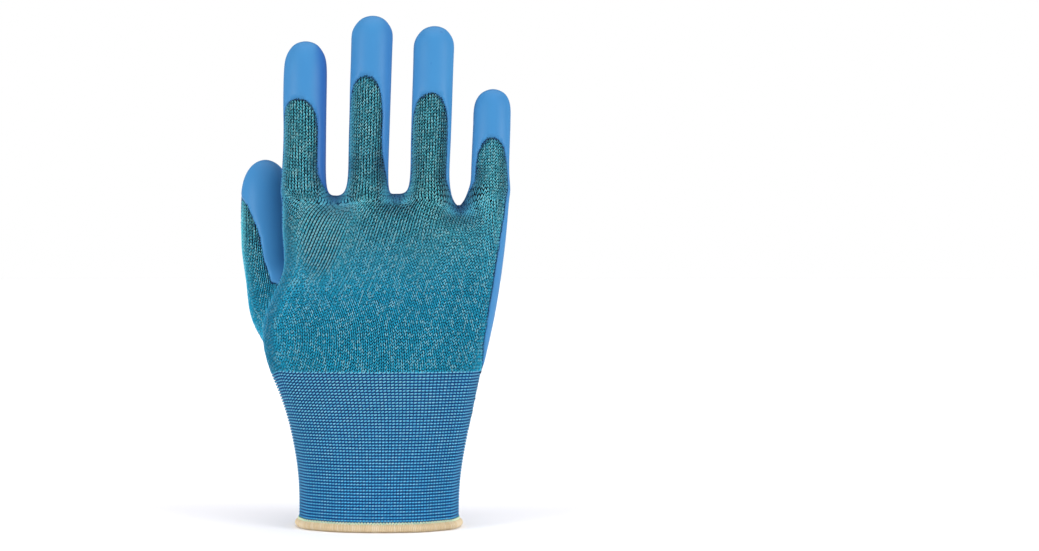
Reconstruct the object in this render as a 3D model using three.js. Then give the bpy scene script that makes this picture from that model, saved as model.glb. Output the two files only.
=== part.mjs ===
// Coated knitted work glove for the right hand, shown filled out as a hand fills it.
// Millimetres. +Z runs from the wrist to the fingertips, the back of the hand faces -Y, the palm
// faces +Y and the thumb is on the -X side. The origin is the middle of the wrist opening.
//
// The glove's outer surface is one smooth skin. A coarse cage of four-sided faces is laid out from
// the tables of sections below, and is then subdivided. Each cloth or rubber piece is a part of
// that skin with a thickness: the knitted liner, the ribbed cuff and the coating over them.

import * as THREE from "three";

// Thickness of each layer, and the clearance between pieces that touch.
const LINER_WALL = 1.2;
const CUFF_WALL = 1.4;
const COATING_WALL = 0.8;
const CLEARANCE = 0.3;

// The hand as a tube. One row for each cross-section, from the wrist opening up to the finger
// roots. left and right are the edges in X, thick is the size in Y at the middle, middle is where
// the section's mid-line lies in Y, bow is how much further to the palm its edges sit, ball is how
// far the ball of the thumb swells the palm, spread is how far the palm's first columns make room
// for the thumb's root, and square is the exponent of the superellipse.
const HAND_SECTIONS = [
  { z: 1.9, left: -37.2, right: 36.6, thick: 42.0, middle: 0.0, bow: 0.0, ball: 0.0, spread: 0.0, square: 2.2 },
  { z: 24.6, left: -37.7, right: 37.6, thick: 40.0, middle: 0.0, bow: 0.0, ball: 0.0, spread: 0.0, square: 2.2 },
  { z: 50.6, left: -42.6, right: 42.4, thick: 37.0, middle: 0.0, bow: 0.5, ball: 1.5, spread: 0.4, square: 2.3 },
  { z: 72.6, left: -50.6, right: 47.1, thick: 35.0, middle: 0.5, bow: 1.0, ball: 4.0, spread: 0.8, square: 2.4 },
  { z: 95.6, left: -53.4, right: 52.2, thick: 32.5, middle: 0.0, bow: 1.0, ball: 8.0, spread: 1.0, square: 2.6 },
  { z: 116.1, left: -44.9, right: 55.6, thick: 29.5, middle: -0.5, bow: 1.5, ball: 1.0, spread: 0.5, square: 2.8 },
  { z: 135.1, left: -44.6, right: 57.9, thick: 25.0, middle: -1.0, bow: 2.0, ball: 0.0, spread: 0.1, square: 3.0 },
  { z: 150.4, left: -44.8, right: 59.3, thick: 20.6, middle: -1.0, bow: 2.5, ball: 0.0, spread: 0.0, square: 3.4 },
];
// The middle of the ball of the thumb and its reach, as shares of a section's width.
const BALL = { middle: 0.14, reach: 0.17 };
const CUFF_TOP_SECTION = 3;
const THUMB_ROOT_SECTION = 3;

// Where the columns of the cage cross each section, as shares of its width: an edge column, then
// a column up each finger's middle with one at each web between them, then the other edge column.
const COLUMNS = [0.035, 0.096, 0.23, 0.373, 0.505, 0.651, 0.785, 0.918, 0.965];
// What a spread of one adds to the shares of the palm's first columns.
const PALM_SPREAD = [0.05, 0.1, 0.06, 0.02];

// Height of each web between two fingers, and how far its front and back edges sit below it.
const WEB_HEIGHTS = [152.6, 153.4, 148.0];
const WEB_DIP = 3.5;

// One row for each finger: its middle at the root and at the tip, the tip's height, the width at
// the root and near the tip, how far the tip leans to the palm, and how much narrower than a round
// one the tip is.
const FINGERS = [
  { name: "index", rootX: -35.3, tipX: -34.5, tipZ: 224.5, rootWidth: 18.5, tipWidth: 18.3, curl: 7.0, pointed: 0.07 },
  { name: "middle", rootX: -5.9, tipX: -3.2, tipZ: 236.3, rootWidth: 17.0, tipWidth: 17.5, curl: 8.0, pointed: 0.0 },
  { name: "ring", rootX: 22.7, tipX: 25.7, tipZ: 231.5, rootWidth: 16.5, tipWidth: 17.1, curl: 8.0, pointed: 0.0 },
  { name: "little", rootX: 50.8, tipX: 52.9, tipZ: 202.1, rootWidth: 16.1, tipWidth: 15.3, curl: 5.5, pointed: 0.0 },
];
const FINGER_FLATNESS = 0.98;
// A finger's cross-sections: share of the finger's length, how far back from there in
// millimetres, the width as a share of the finger's own, and the share of pointed taken off it.
const FINGER_PROFILE = [
  { share: 0.0, back: -6.0, swell: 1.09, point: 0.0 },
  { share: 0.3, back: 0.0, swell: 1.0, point: 0.0 },
  { share: 0.62, back: 0.0, swell: 1.0, point: 0.0 },
  { share: 1.0, back: 13.0, swell: 1.0, point: 0.1 },
  { share: 1.0, back: 5.6, swell: 0.93, point: 1.0 },
  { share: 1.0, back: 1.7, swell: 0.6, point: 0.6 },
];

// The bare knit on the back of each finger, a tongue with a rounded end. top is the height of its
// end, and reach is how far down the rounding goes. middle, from and to are its middle and its two
// sides below the rounding, in degrees round the finger from the middle of its back, with the
// little finger's side positive. Over the flare's height above the finger's root, from goes to
// ROOT_FROM and to goes to rootTo.
const FINGER_KNIT = [
  { name: "index", top: 197.8, reach: 15.0, middle: -16, from: -90, to: 43, flare: 14.0, rootTo: 90 },
  { name: "middle", top: 208.4, reach: 20.0, middle: -10, from: -90, to: 43, flare: 28.0, rootTo: 90 },
  { name: "ring", top: 200.3, reach: 19.0, middle: -3, from: -84, to: 60, flare: 12.0, rootTo: 90 },
  { name: "little", top: 179.9, reach: 18.0, middle: -4, from: -60, to: 66, flare: 12.0, rootTo: 66 },
];
const ROOT_FROM = -90;

// The thumb's cross-sections, from its root to its tip: the middle, the width across the view from
// the back, the depth, and how far the section leans out from level, in degrees.
const THUMB_SECTIONS = [
  { x: -50.6, y: 16.6, z: 103.2, width: 29.0, depth: 22.0, lean: 58 },
  { x: -51.9, y: 24.6, z: 116.6, width: 25.2, depth: 22.8, lean: 24 },
  { x: -53.4, y: 26.5, z: 128.9, width: 24.8, depth: 23.4, lean: 6 },
  { x: -54.5, y: 28.8, z: 144.6, width: 23.4, depth: 21.6, lean: 0 },
  { x: -54.9, y: 30.8, z: 161.1, width: 20.0, depth: 18.2, lean: 0 },
  { x: -55.0, y: 31.6, z: 168.6, width: 11.8, depth: 11.0, lean: 0 },
];
const THUMB_TIP = { x: -55.1, y: 31.8, z: 171.2 };
// The bare knit on the thumb's outer side: its two edges at each height, in degrees round the
// thumb from the middle of its back, with the hand's side positive.
const THUMB_KNIT = [
  { z: 80.6, from: -145, to: 110 },
  { z: 96.6, from: -133, to: 85 },
  { z: 109.6, from: -125, to: 50 },
  { z: 113.1, from: -122, to: 4 },
  { z: 123.6, from: -112, to: -8 },
  { z: 132.1, from: -104, to: -11 },
  { z: 138.2, from: -97, to: -18 },
  { z: 144.6, from: -93, to: -32 },
  { z: 149.8, from: -91, to: -47 },
  { z: 154.6, from: -89, to: -86 },
];

// The coating's lower edge round the palm side: its height at each share of the hand's width.
const COATING_EDGE = [
  { share: 0.0, z: 108.6 },
  { share: 0.026, z: 82.6 },
  { share: 0.052, z: 63.6 },
  { share: 0.1, z: 51.6 },
  { share: 0.18, z: 38.6 },
  { share: 0.36, z: 36.0 },
  { share: 0.59, z: 37.0 },
  { share: 0.86, z: 40.2 },
  { share: 0.975, z: 43.0 },
  { share: 1.0, z: 46.6 },
];
// How far the coating wraps round the little finger's side to the back of the hand at each height,
// past the hand's mid-line, and the share of the hand's width from which it does.
const SIDE_WRAP = [
  { z: 42.6, depth: -2.0 },
  { z: 70.6, depth: -2.0 },
  { z: 76.6, depth: 3.0 },
  { z: 84.6, depth: 6.0 },
  { z: 101.6, depth: 7.5 },
  { z: 116.6, depth: 7.5 },
  { z: 127.6, depth: 6.5 },
  { z: 135.6, depth: 5.5 },
  { z: 143.6, depth: 4.2 },
  { z: 150.4, depth: 3.5 },
];
const SIDE_WRAP_FROM = 0.7;

// The overlocked binding round the wrist opening. The cuff's edge stands in its slot.
const BINDING_HEIGHT = 3.7;
const BINDING_OUT = 2.1;
const BINDING_IN = 1.6;
const BINDING_FLOOR = 1.6;
// How far the binding's section narrows at its top and at its lower edge.
const BINDING_ROUNDING = { aside: 0.3, top: 0.7, under: 1.5 };

// How many times the cage is moved towards the smooth surface that it should give.
const FIT_PASSES = 12;
// A point of the skin closer than this to the coating's edge is taken to lie on it.
const EDGE_SNAP = 0.5;
// The nearest that a cut may come to the end of an edge of the skin, as a share of that edge.
const CUT_MARGIN = 0.08;
// The rings of the fingers and the thumb have eight points, the first this far round from the
// middle of the back.
const RING_START = -45;
const RING_STEP = 45;

const SURFACE_COLOURS = {
  knit_liner: { color: 0x2f8293, roughness: 0.9 },
  knit_cuff: { color: 0x377bab, roughness: 0.9 },
  palm_coating: { color: 0x4e95d0, roughness: 0.55 },
  cuff_binding: { color: 0xe6cfa0, roughness: 0.85 },
};

const radians = THREE.MathUtils.degToRad;

// The mid-line of a hand section at a share of its width.
function midline(row, share) {
  return row.middle + row.bow * (2 * share - 1) ** 2;
}

// Half the thickness of a hand section at a share of its width.
function halfThickness(row, share) {
  const reach = Math.abs(2 * share - 1) ** row.square;
  return (row.thick / 2) * (1 - reach) ** (1 / row.square);
}

function point(x, y, z) {
  return new THREE.Vector3(x, y, z);
}

// The cage: points, four-sided faces, and the name of the region that each face belongs to.
const cage = { points: [], faces: [] };

function addPoint(p) {
  cage.points.push(p);
  return cage.points.length - 1;
}

function addFace(region, corners) {
  cage.faces.push({ region, corners });
}

// Joins two rings of equal length, given so that the first goes round clockwise seen from the
// wrist, with a band of faces. The faces in skip are left open.
function addBand(region, lower, upper, skip = []) {
  lower.forEach((_, i) => {
    const next = (i + 1) % lower.length;
    if (!skip.includes(i)) {
      addFace(region, [lower[i], lower[next], upper[next], upper[i]]);
    }
  });
}

// Closes a ring of eight with a middle point and four faces.
function addCap(region, ring, tip) {
  const middle = addPoint(tip);
  for (let i = 0; i < ring.length; i += 2) {
    addFace(region, [ring[i], ring[i + 1], ring[(i + 2) % ring.length], middle]);
  }
}

// One ring of the hand: the thumb-side edge, the back from there to the other edge, that edge,
// and the palm side on the way home. shift moves a column of the back and the palm up or down.
function addHandRing(row, shift = () => 0) {
  const width = row.right - row.left;
  const at = (share, side, i) => {
    const swell = side > 0 ? row.ball * Math.exp(-(((share - BALL.middle) / BALL.reach) ** 2)) : 0;
    const y = midline(row, share) + side * halfThickness(row, share) + swell;
    return addPoint(point(row.left + share * width, y, row.z + shift(i)));
  };
  const left = addPoint(point(row.left, midline(row, 0), row.z));
  const back = COLUMNS.map((share, i) => at(share, -1, i));
  const right = addPoint(point(row.right, midline(row, 1), row.z));
  const palm = COLUMNS.map((share, i) => at(share + row.spread * (PALM_SPREAD[i] ?? 0), 1, i)).reverse();
  return [left, ...back, right, ...palm];
}

// Where a finger's middle lies, and how it is tilted, at a height.
function fingerFrame(finger, z) {
  const root = HAND_SECTIONS.at(-1);
  const share = (finger.rootX - root.left) / (root.right - root.left);
  const length = finger.tipZ - root.z;
  const s = THREE.MathUtils.clamp((z - root.z) / length, 0, 1);
  return {
    x: THREE.MathUtils.lerp(finger.rootX, finger.tipX, s),
    y: midline(root, share) + finger.curl * s * s,
    width: THREE.MathUtils.lerp(finger.rootWidth, finger.tipWidth, s),
    slope: (2 * finger.curl * s) / length,
  };
}

// Adds a finger on its ring of root points, which starts at the back on the thumb's side.
function addFinger(finger, rootRing) {
  const root = HAND_SECTIONS.at(-1);
  let lower = rootRing;
  for (const { share, back, swell, point: narrowing } of FINGER_PROFILE) {
    const z = root.z + share * (finger.tipZ - root.z) - back;
    const frame = fingerFrame(finger, z);
    const across = (frame.width * (swell - narrowing * finger.pointed)) / 2;
    const deep = across * FINGER_FLATNESS;
    const upper = rootRing.map((_, i) => {
      const turn = radians(RING_START + RING_STEP * i);
      const y = -deep * Math.cos(turn);
      return addPoint(point(frame.x + across * Math.sin(turn), frame.y + y, z - y * frame.slope));
    });
    addBand(finger.name, lower, upper);
    lower = upper;
  }
  addCap(finger.name, lower, point(finger.tipX, fingerFrame(finger, finger.tipZ).y, finger.tipZ));
}

// Adds the thumb on the ring of points round its root, which starts at the wrist end, at the back.
function addThumb(rootRing) {
  let lower = rootRing;
  for (const row of THUMB_SECTIONS) {
    const upper = rootRing.map((_, i) => {
      const turn = radians(RING_START + RING_STEP * i);
      const out = (row.width / 2) * Math.sin(turn);
      const lean = radians(row.lean);
      const y = row.y - (row.depth / 2) * Math.cos(turn);
      return addPoint(point(row.x + out * Math.cos(lean), y, row.z + out * Math.sin(lean)));
    });
    addBand("thumb", lower, upper);
    lower = upper;
  }
  addCap("thumb", lower, point(THUMB_TIP.x, THUMB_TIP.y, THUMB_TIP.z));
}

function buildCage() {
  const last = HAND_SECTIONS.length - 1;
  const isWeb = (i) => i > 0 && i < COLUMNS.length - 1 && i % 2 === 0;
  const webHeight = (i) => WEB_HEIGHTS[i / 2 - 1];
  const rings = HAND_SECTIONS.map((row, r) =>
    addHandRing(row, (i) => (r === last && isWeb(i) ? webHeight(i) - WEB_DIP - row.z : 0)),
  );
  const size = rings[0].length;
  for (let r = 0; r < last; r += 1) {
    const thumbHere = r === THUMB_ROOT_SECTION || r === THUMB_ROOT_SECTION + 1;
    const skip = thumbHere ? [size - 2, size - 1] : [];
    addBand(r < CUFF_TOP_SECTION ? "cuff" : "hand", rings[r], rings[r + 1], skip);
  }
  // The thumb's root is the open patch beside the thumb-side edge, three sections high.
  const [low, mid, high] = [0, 1, 2].map((k) => rings[THUMB_ROOT_SECTION + k]);
  addThumb([low[0], mid[0], high[0], high.at(-1), high.at(-2), mid.at(-2), low.at(-2), low.at(-1)]);
  // Each finger stands on two columns of the back, the web beside it, two of the palm and a web.
  const top = rings[last];
  const row = HAND_SECTIONS[last];
  const back = (i) => top[1 + i];
  const palm = (i) => top[size - 1 - i];
  const web = (i) => addPoint(point(row.left + COLUMNS[i] * (row.right - row.left),
    midline(row, COLUMNS[i]), webHeight(i)));
  const sides = [top[0], web(2), web(4), web(6), top[COLUMNS.length + 1]];
  FINGERS.forEach((finger, f) => {
    const i = 2 * f;
    addFinger(finger, [back(i), back(i + 1), back(i + 2), sides[f + 1],
      palm(i + 2), palm(i + 1), palm(i), sides[f]]);
  });
}

// For each point of a mesh of four-sided faces, the points that it shares an edge or only a face
// with, and for each edge its faces.
function neighbours(faces, count) {
  const near = Array.from({ length: count }, () => ({ edge: new Set(), face: [], faces: [] }));
  const edges = new Map();
  faces.forEach(({ corners }, f) => {
    corners.forEach((a, i) => {
      const b = corners[(i + 1) % 4];
      const key = a < b ? `${a},${b}` : `${b},${a}`;
      if (!edges.has(key)) {
        edges.set(key, { ends: [a, b], faces: [] });
      }
      edges.get(key).faces.push(f);
      near[a].edge.add(b);
      near[b].edge.add(a);
      near[a].face.push(corners[(i + 2) % 4]);
      near[a].faces.push(f);
    });
  });
  const rim = Array.from({ length: count }, () => []);
  for (const { ends, faces: owners } of edges.values()) {
    if (owners.length === 1) {
      rim[ends[0]].push(ends[1]);
      rim[ends[1]].push(ends[0]);
    }
  }
  return { near, edges, rim };
}

function average(points) {
  return points.reduce((sum, p) => sum.add(p), point(0, 0, 0)).divideScalar(points.length);
}

// Where a point ends up when its mesh is subdivided for ever by the Catmull-Clark rule.
function limitPoint(points, i, { near, rim }) {
  if (!near[i].face.length) {
    return points[i].clone();
  }
  const p = points[i];
  if (rim[i].length) {
    return average([p, p, p, p, ...rim[i].map((k) => points[k])]);
  }
  const n = near[i].edge.size;
  const sum = p.clone().multiplyScalar(n * n);
  near[i].edge.forEach((k) => sum.addScaledVector(points[k], 4));
  near[i].face.forEach((k) => sum.add(points[k]));
  return sum.divideScalar(n * (n + 5));
}

// Swells the cage until the smooth surface passes through the points of the tables.
function fitCage(passes) {
  const wanted = cage.points.map((p) => p.clone());
  const links = neighbours(cage.faces, wanted.length);
  let fitted = wanted.map((p) => p.clone());
  for (let pass = 0; pass < passes; pass += 1) {
    const limits = fitted.map((_, i) => limitPoint(fitted, i, links));
    fitted = fitted.map((p, i) => p.clone().add(wanted[i]).sub(limits[i]));
  }
  return { points: fitted, faces: cage.faces };
}

// One round of Catmull-Clark subdivision.
function subdivide(mesh) {
  const { points, faces } = mesh;
  const links = neighbours(faces, points.length);
  const { near, edges, rim } = links;
  const faceMiddles = faces.map(({ corners }) => average(corners.map((c) => points[c])));
  const moved = points.map((p, i) => {
    if (rim[i].length) {
      return average([p, p, p, p, p, p, ...rim[i].map((k) => points[k])]);
    }
    const n = near[i].faces.length;
    const middles = average(near[i].faces.map((f) => faceMiddles[f]));
    const halves = average([...near[i].edge].map((k) => points[k].clone().add(p).multiplyScalar(0.5)));
    return middles.addScaledVector(halves, 2).addScaledVector(p, n - 3).divideScalar(n);
  });
  const faceAt = points.length;
  const made = [...moved, ...faceMiddles];
  const edgeAt = new Map();
  for (const [key, { ends, faces: owners }] of edges) {
    const parts = ends.map((e) => points[e]);
    if (owners.length === 2) {
      parts.push(...owners.map((f) => faceMiddles[f]));
    }
    edgeAt.set(key, made.length);
    made.push(average(parts));
  }
  const edgePoint = (a, b) => edgeAt.get(a < b ? `${a},${b}` : `${b},${a}`);
  const split = faces.flatMap(({ region, corners }, f) =>
    corners.map((c, i) => ({
      region,
      corners: [c, edgePoint(c, corners[(i + 1) % 4]), faceAt + f, edgePoint(corners[(i + 3) % 4], c)],
    })),
  );
  return { points: made, faces: split };
}

// Moves the points to where they end up on the smooth surface, with the seam between cuff and
// hand kept level.
function settle(mesh) {
  const links = neighbours(mesh.faces, mesh.points.length);
  const inCuff = new Set();
  const inHand = new Set();
  for (const { region, corners } of mesh.faces) {
    corners.forEach((k) => (region === "cuff" ? inCuff : inHand).add(k));
  }
  const points = mesh.points.map((_, i) => {
    const settled = limitPoint(mesh.points, i, links);
    return inCuff.has(i) && inHand.has(i) ? settled.setZ(HAND_SECTIONS[CUFF_TOP_SECTION].z) : settled;
  });
  return { points, faces: mesh.faces };
}

// The outward direction at each point.
function pointNormals({ points, faces }) {
  const normals = points.map(() => point(0, 0, 0));
  for (const { corners } of faces) {
    const [a, b, c, d] = corners.map((k) => points[k]);
    const normal = c.clone().sub(a).cross(d.clone().sub(b));
    corners.forEach((k) => normals[k].add(normal));
  }
  return normals.map((n) => n.normalize());
}

// How far a point of a finger lies inside the bare knit on its back, in millimetres.
function insideFingerKnit(finger, p) {
  const frame = fingerFrame(finger, p.z);
  const knit = FINGER_KNIT.find((row) => row.name === finger.name);
  const root = HAND_SECTIONS.at(-1).z;
  const flare = 1 - THREE.MathUtils.smoothstep(p.z, root, root + knit.flare);
  const from = THREE.MathUtils.lerp(knit.from, ROOT_FROM, flare);
  const to = THREE.MathUtils.lerp(knit.to, knit.rootTo, flare);
  const turn = Math.atan2(p.x - frame.x, (frame.y - p.y) / FINGER_FLATNESS);
  const aside = turn - radians(knit.middle);
  const half = aside < 0 ? radians(knit.middle - from) : radians(to - knit.middle);
  const past = Math.max(0, p.z - (knit.top - knit.reach));
  return ((1 - Math.hypot(aside / half, past / knit.reach)) * half * frame.width) / 2;
}

// A value from a table, between its rows or carried on past its ends.
function lookUp(rows, key, value, at) {
  const next = rows.findIndex((r) => r[key] > at);
  const k = next < 0 ? rows.length - 1 : Math.max(next, 1);
  const [a, b] = [rows[k - 1], rows[k]];
  return THREE.MathUtils.lerp(a[value], b[value], (at - a[key]) / (b[key] - a[key]));
}

// The same on the thumb, whose bare knit lies on its outer side.
function insideThumbKnit(p) {
  const at = (value) => lookUp(THUMB_SECTIONS, "z", value, p.z);
  const turn = Math.atan2(p.x - at("x"), at("y") - p.y);
  const from = turn - radians(lookUp(THUMB_KNIT, "z", "from", p.z));
  const to = radians(lookUp(THUMB_KNIT, "z", "to", p.z)) - turn;
  return (Math.min(from, to) * at("width")) / 2;
}

// The same on the hand and the cuff: the back of the hand, and all that lies below the coating's
// lower edge.
function insideHandKnit(p) {
  const left = lookUp(HAND_SECTIONS, "z", "left", p.z);
  const right = lookUp(HAND_SECTIONS, "z", "right", p.z);
  const share = THREE.MathUtils.clamp((p.x - left) / (right - left), 0, 1);
  const middle = lookUp(HAND_SECTIONS, "z", "middle", p.z);
  const bow = lookUp(HAND_SECTIONS, "z", "bow", p.z);
  const wrap = share > SIDE_WRAP_FROM ? lookUp(SIDE_WRAP, "z", "depth", p.z) : 0;
  const toBack = midline({ middle, bow }, share) - wrap - p.y;
  const below = lookUp(COATING_EDGE, "share", "z", share) - p.z;
  return Math.max(toBack, below);
}

function insideKnit(region, p) {
  const finger = FINGERS.find((f) => f.name === region);
  if (finger) {
    return insideFingerKnit(finger, p);
  }
  return region === "thumb" ? insideThumbKnit(p) : insideHandKnit(p);
}

// Where a function that is below zero at 0 and above it at 1 crosses zero, away from both ends.
function rootOf(f) {
  let [low, high] = [CUT_MARGIN, 1 - CUT_MARGIN];
  for (let i = 0; i < 16; i += 1) {
    const middle = (low + high) / 2;
    [low, high] = f(middle) < 0 ? [middle, high] : [low, middle];
  }
  return (low + high) / 2;
}

// A skin: points with their outward directions, and triangles.
function skinOf(mesh, regions) {
  const normals = pointNormals(mesh);
  const used = mesh.faces.filter((f) => regions.includes(f.region));
  const triangles = used.flatMap(({ corners: [a, b, c, d] }) => [[a, b, c], [a, c, d]]);
  return { points: mesh.points, normals, triangles };
}

// The part of a skin where the value at its points is below zero, cut along the line of zero.
// A point closer to that line than the snap counts as on it, which keeps slivers out, and
// valueAt(a, b, p) is the value at p on the way from point a to point b.
function cutSkin(skin, values, snap, valueAt) {
  const points = [...skin.points];
  const normals = [...skin.normals];
  const value = values.map((v) => (Math.abs(v) < snap ? 0 : v));
  const cuts = new Map();
  const crossing = (a, b) => {
    const key = a < b ? `${a},${b}` : `${b},${a}`;
    if (!cuts.has(key)) {
      const ends = [points[a], points[b]];
      const s = rootOf((t) => valueAt(a, b, ends[0].clone().lerp(ends[1], t)) * Math.sign(value[b]));
      cuts.set(key, points.length);
      points.push(points[a].clone().lerp(points[b], s));
      normals.push(normals[a].clone().lerp(normals[b], s).normalize());
    }
    return cuts.get(key);
  };
  const triangles = skin.triangles.flatMap((triangle) => {
    if (triangle.every((k) => value[k] >= 0)) {
      return [];
    }
    const outline = triangle.flatMap((a, i) => {
      const b = triangle[(i + 1) % 3];
      const kept = value[a] <= 0 ? [a] : [];
      return value[a] * value[b] < 0 ? [...kept, crossing(a, b)] : kept;
    });
    return outline.slice(2).map((_, i) => [outline[0], outline[i + 1], outline[i + 2]]);
  });
  return { points, normals, triangles };
}

// A closed body between two offsets of a skin, with walls along the skin's open edges. The edges'
// points are moved by edgeShift(point).
function shellOf(skin, inner, outer, edgeShift = () => point(0, 0, 0)) {
  const halfEdges = new Map();
  for (const triangle of skin.triangles) {
    triangle.forEach((a, i) => halfEdges.set(`${a},${triangle[(i + 1) % 3]}`, [a, triangle[(i + 1) % 3]]));
  }
  const open = [...halfEdges.values()].filter(([a, b]) => !halfEdges.has(`${b},${a}`));
  const rim = new Set(open.flat());
  const place = (k, offset) => {
    const p = skin.points[k].clone().addScaledVector(skin.normals[k], offset);
    return rim.has(k) ? p.add(edgeShift(p)) : p;
  };
  const corners = [];
  for (const [a, b, c] of skin.triangles) {
    corners.push(place(a, outer), place(b, outer), place(c, outer));
    corners.push(place(a, inner), place(c, inner), place(b, inner));
  }
  for (const [a, b] of open) {
    corners.push(place(b, outer), place(a, outer), place(a, inner));
    corners.push(place(b, outer), place(a, inner), place(b, inner));
  }
  return new THREE.BufferGeometry().setFromPoints(corners);
}

function makeMesh(name, geometry) {
  const material = new THREE.MeshStandardMaterial({ metalness: 0, ...SURFACE_COLOURS[name] });
  geometry.computeVertexNormals();
  const mesh = new THREE.Mesh(geometry, material);
  mesh.name = name;
  return mesh;
}

// The knitted hand: back, palm, four fingers and thumb in one piece, open at the cuff.
function makeLiner(surface) {
  const skin = skinOf(surface, ["hand", "thumb", ...FINGERS.map((f) => f.name)]);
  return makeMesh("knit_liner", shellOf(skin, -LINER_WALL, 0, () => point(0, 0, CLEARANCE / 2)));
}

// The ribbed cuff that the hand is knitted on to.
function makeCuff(surface) {
  const top = HAND_SECTIONS[CUFF_TOP_SECTION].z;
  const lower = (p) => point(0, 0, p.z > top / 2 ? -CLEARANCE / 2 : 0);
  return makeMesh("knit_cuff", shellOf(skinOf(surface, ["cuff"]), -CUFF_WALL, 0, lower));
}

// The dipped rubber film over the palm, the fingertips and the top of the cuff.
function makeCoating(surface) {
  const regionOf = new Array(surface.points.length);
  surface.faces.forEach(({ region, corners }) => {
    corners.forEach((k) => {
      regionOf[k] = regionOf[k] && regionOf[k] !== region ? "hand" : region;
    });
  });
  const values = surface.points.map((p, k) => insideKnit(regionOf[k], p));
  const between = (a, b, p) => insideKnit(regionOf[a] === "hand" ? regionOf[b] : regionOf[a], p);
  const all = skinOf(surface, ["cuff", "hand", "thumb", ...FINGERS.map((f) => f.name)]);
  const film = cutSkin(all, values, EDGE_SNAP, between);
  return makeMesh("palm_coating", shellOf(film, CLEARANCE, CLEARANCE + COATING_WALL));
}

// The binding: a slotted section carried round the cuff's rim.
function makeBinding(surface) {
  const normals = pointNormals(surface);
  const rimZ = HAND_SECTIONS[0].z;
  const slotOut = CLEARANCE;
  const slotIn = -CUFF_WALL - CLEARANCE;
  const { aside, top, under } = BINDING_ROUNDING;
  // Points of its section, each as (out from the cuff's face, up from the lower edge).
  const section = [
    [slotOut, BINDING_HEIGHT],
    [BINDING_OUT - aside, BINDING_HEIGHT - top],
    [BINDING_OUT, BINDING_FLOOR],
    [BINDING_OUT - under, 0],
    [slotIn - BINDING_IN + under, 0],
    [slotIn - BINDING_IN, BINDING_FLOOR],
    [slotIn - BINDING_IN + aside, BINDING_HEIGHT - top],
    [slotIn, BINDING_HEIGHT],
    [slotIn, BINDING_FLOOR],
    [slotOut, BINDING_FLOOR],
  ];
  const rim = surface.points
    .map((p, k) => ({ p, out: normals[k].clone().setZ(0).normalize() }))
    .filter(({ p }) => Math.abs(p.z - rimZ) < 0.01)
    .sort((a, b) => Math.atan2(a.p.y, a.p.x) - Math.atan2(b.p.y, b.p.x));
  const corner = (i, j) => {
    const { p, out } = rim[i % rim.length];
    const [away, up] = section[j % section.length];
    return point(p.x + out.x * away, p.y + out.y * away, up);
  };
  const corners = rim.flatMap((_, i) =>
    section.flatMap((__, j) => {
      const [a, b, c, d] = [corner(i, j), corner(i + 1, j), corner(i + 1, j + 1), corner(i, j + 1)];
      return [a, c, b, a, d, c];
    }),
  );
  return makeMesh("cuff_binding", new THREE.BufferGeometry().setFromPoints(corners));
}

buildCage();
const surface = settle(subdivide(fitCage(FIT_PASSES)));

const glove = new THREE.Group();
glove.name = "work_glove";
glove.add(makeLiner(surface), makeCuff(surface), makeCoating(surface), makeBinding(surface));

export default glove;
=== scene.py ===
"""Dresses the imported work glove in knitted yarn, a dipped film and overlock thread.

The glove's outer surface is one smooth skin. A coarse cage of four-sided faces is laid out from the
tables of sections below, in millimetres, and is subdivided. The knitted ground, the cuff's ground
and the film are parts of that skin with a thickness, the stitches and the cuff's loops stand on it,
and the hem's threads run round its lower edge. The finished meshes are in metres: +Z runs from the
wrist to the fingertips, the back of the hand faces -Y and the thumb is on the -X side.
"""

import logging
import math
from collections.abc import Callable, Sequence
from dataclasses import dataclass, fields, replace
from enum import Enum
from functools import partial

import bpy
import numpy as np
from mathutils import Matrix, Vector

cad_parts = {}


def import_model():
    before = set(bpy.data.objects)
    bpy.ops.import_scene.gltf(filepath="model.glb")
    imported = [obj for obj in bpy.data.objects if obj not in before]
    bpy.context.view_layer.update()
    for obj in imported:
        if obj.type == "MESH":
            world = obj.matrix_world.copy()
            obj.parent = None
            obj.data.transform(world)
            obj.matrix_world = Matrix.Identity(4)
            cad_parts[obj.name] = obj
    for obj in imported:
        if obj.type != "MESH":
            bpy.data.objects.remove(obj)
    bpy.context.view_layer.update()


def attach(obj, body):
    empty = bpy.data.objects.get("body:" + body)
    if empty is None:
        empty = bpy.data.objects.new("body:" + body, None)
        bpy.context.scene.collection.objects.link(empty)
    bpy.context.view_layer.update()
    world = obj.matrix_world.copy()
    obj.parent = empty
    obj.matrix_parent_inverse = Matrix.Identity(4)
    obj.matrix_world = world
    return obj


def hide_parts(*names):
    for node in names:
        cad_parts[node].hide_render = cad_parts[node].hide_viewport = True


log = logging.getLogger("glove")

Span = tuple[float, float]
Place = tuple[float, float, float]
Colour = tuple[float, float, float, float]
Array = np.ndarray
Random = np.random.Generator
Sway = Callable[[Array, Array], Array]
Socket = bpy.types.NodeSocket
Material = bpy.types.Material
Piece = bpy.types.Object

MM = 0.001
TINY = 1e-12


class Region(Enum):
    """The parts of the skin."""

    CUFF = 0
    HAND = 1
    INDEX = 2
    MIDDLE = 3
    RING = 4
    LITTLE = 5
    THUMB = 6


BALL_MIDDLE = 0.14
BALL_REACH = 0.17


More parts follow.
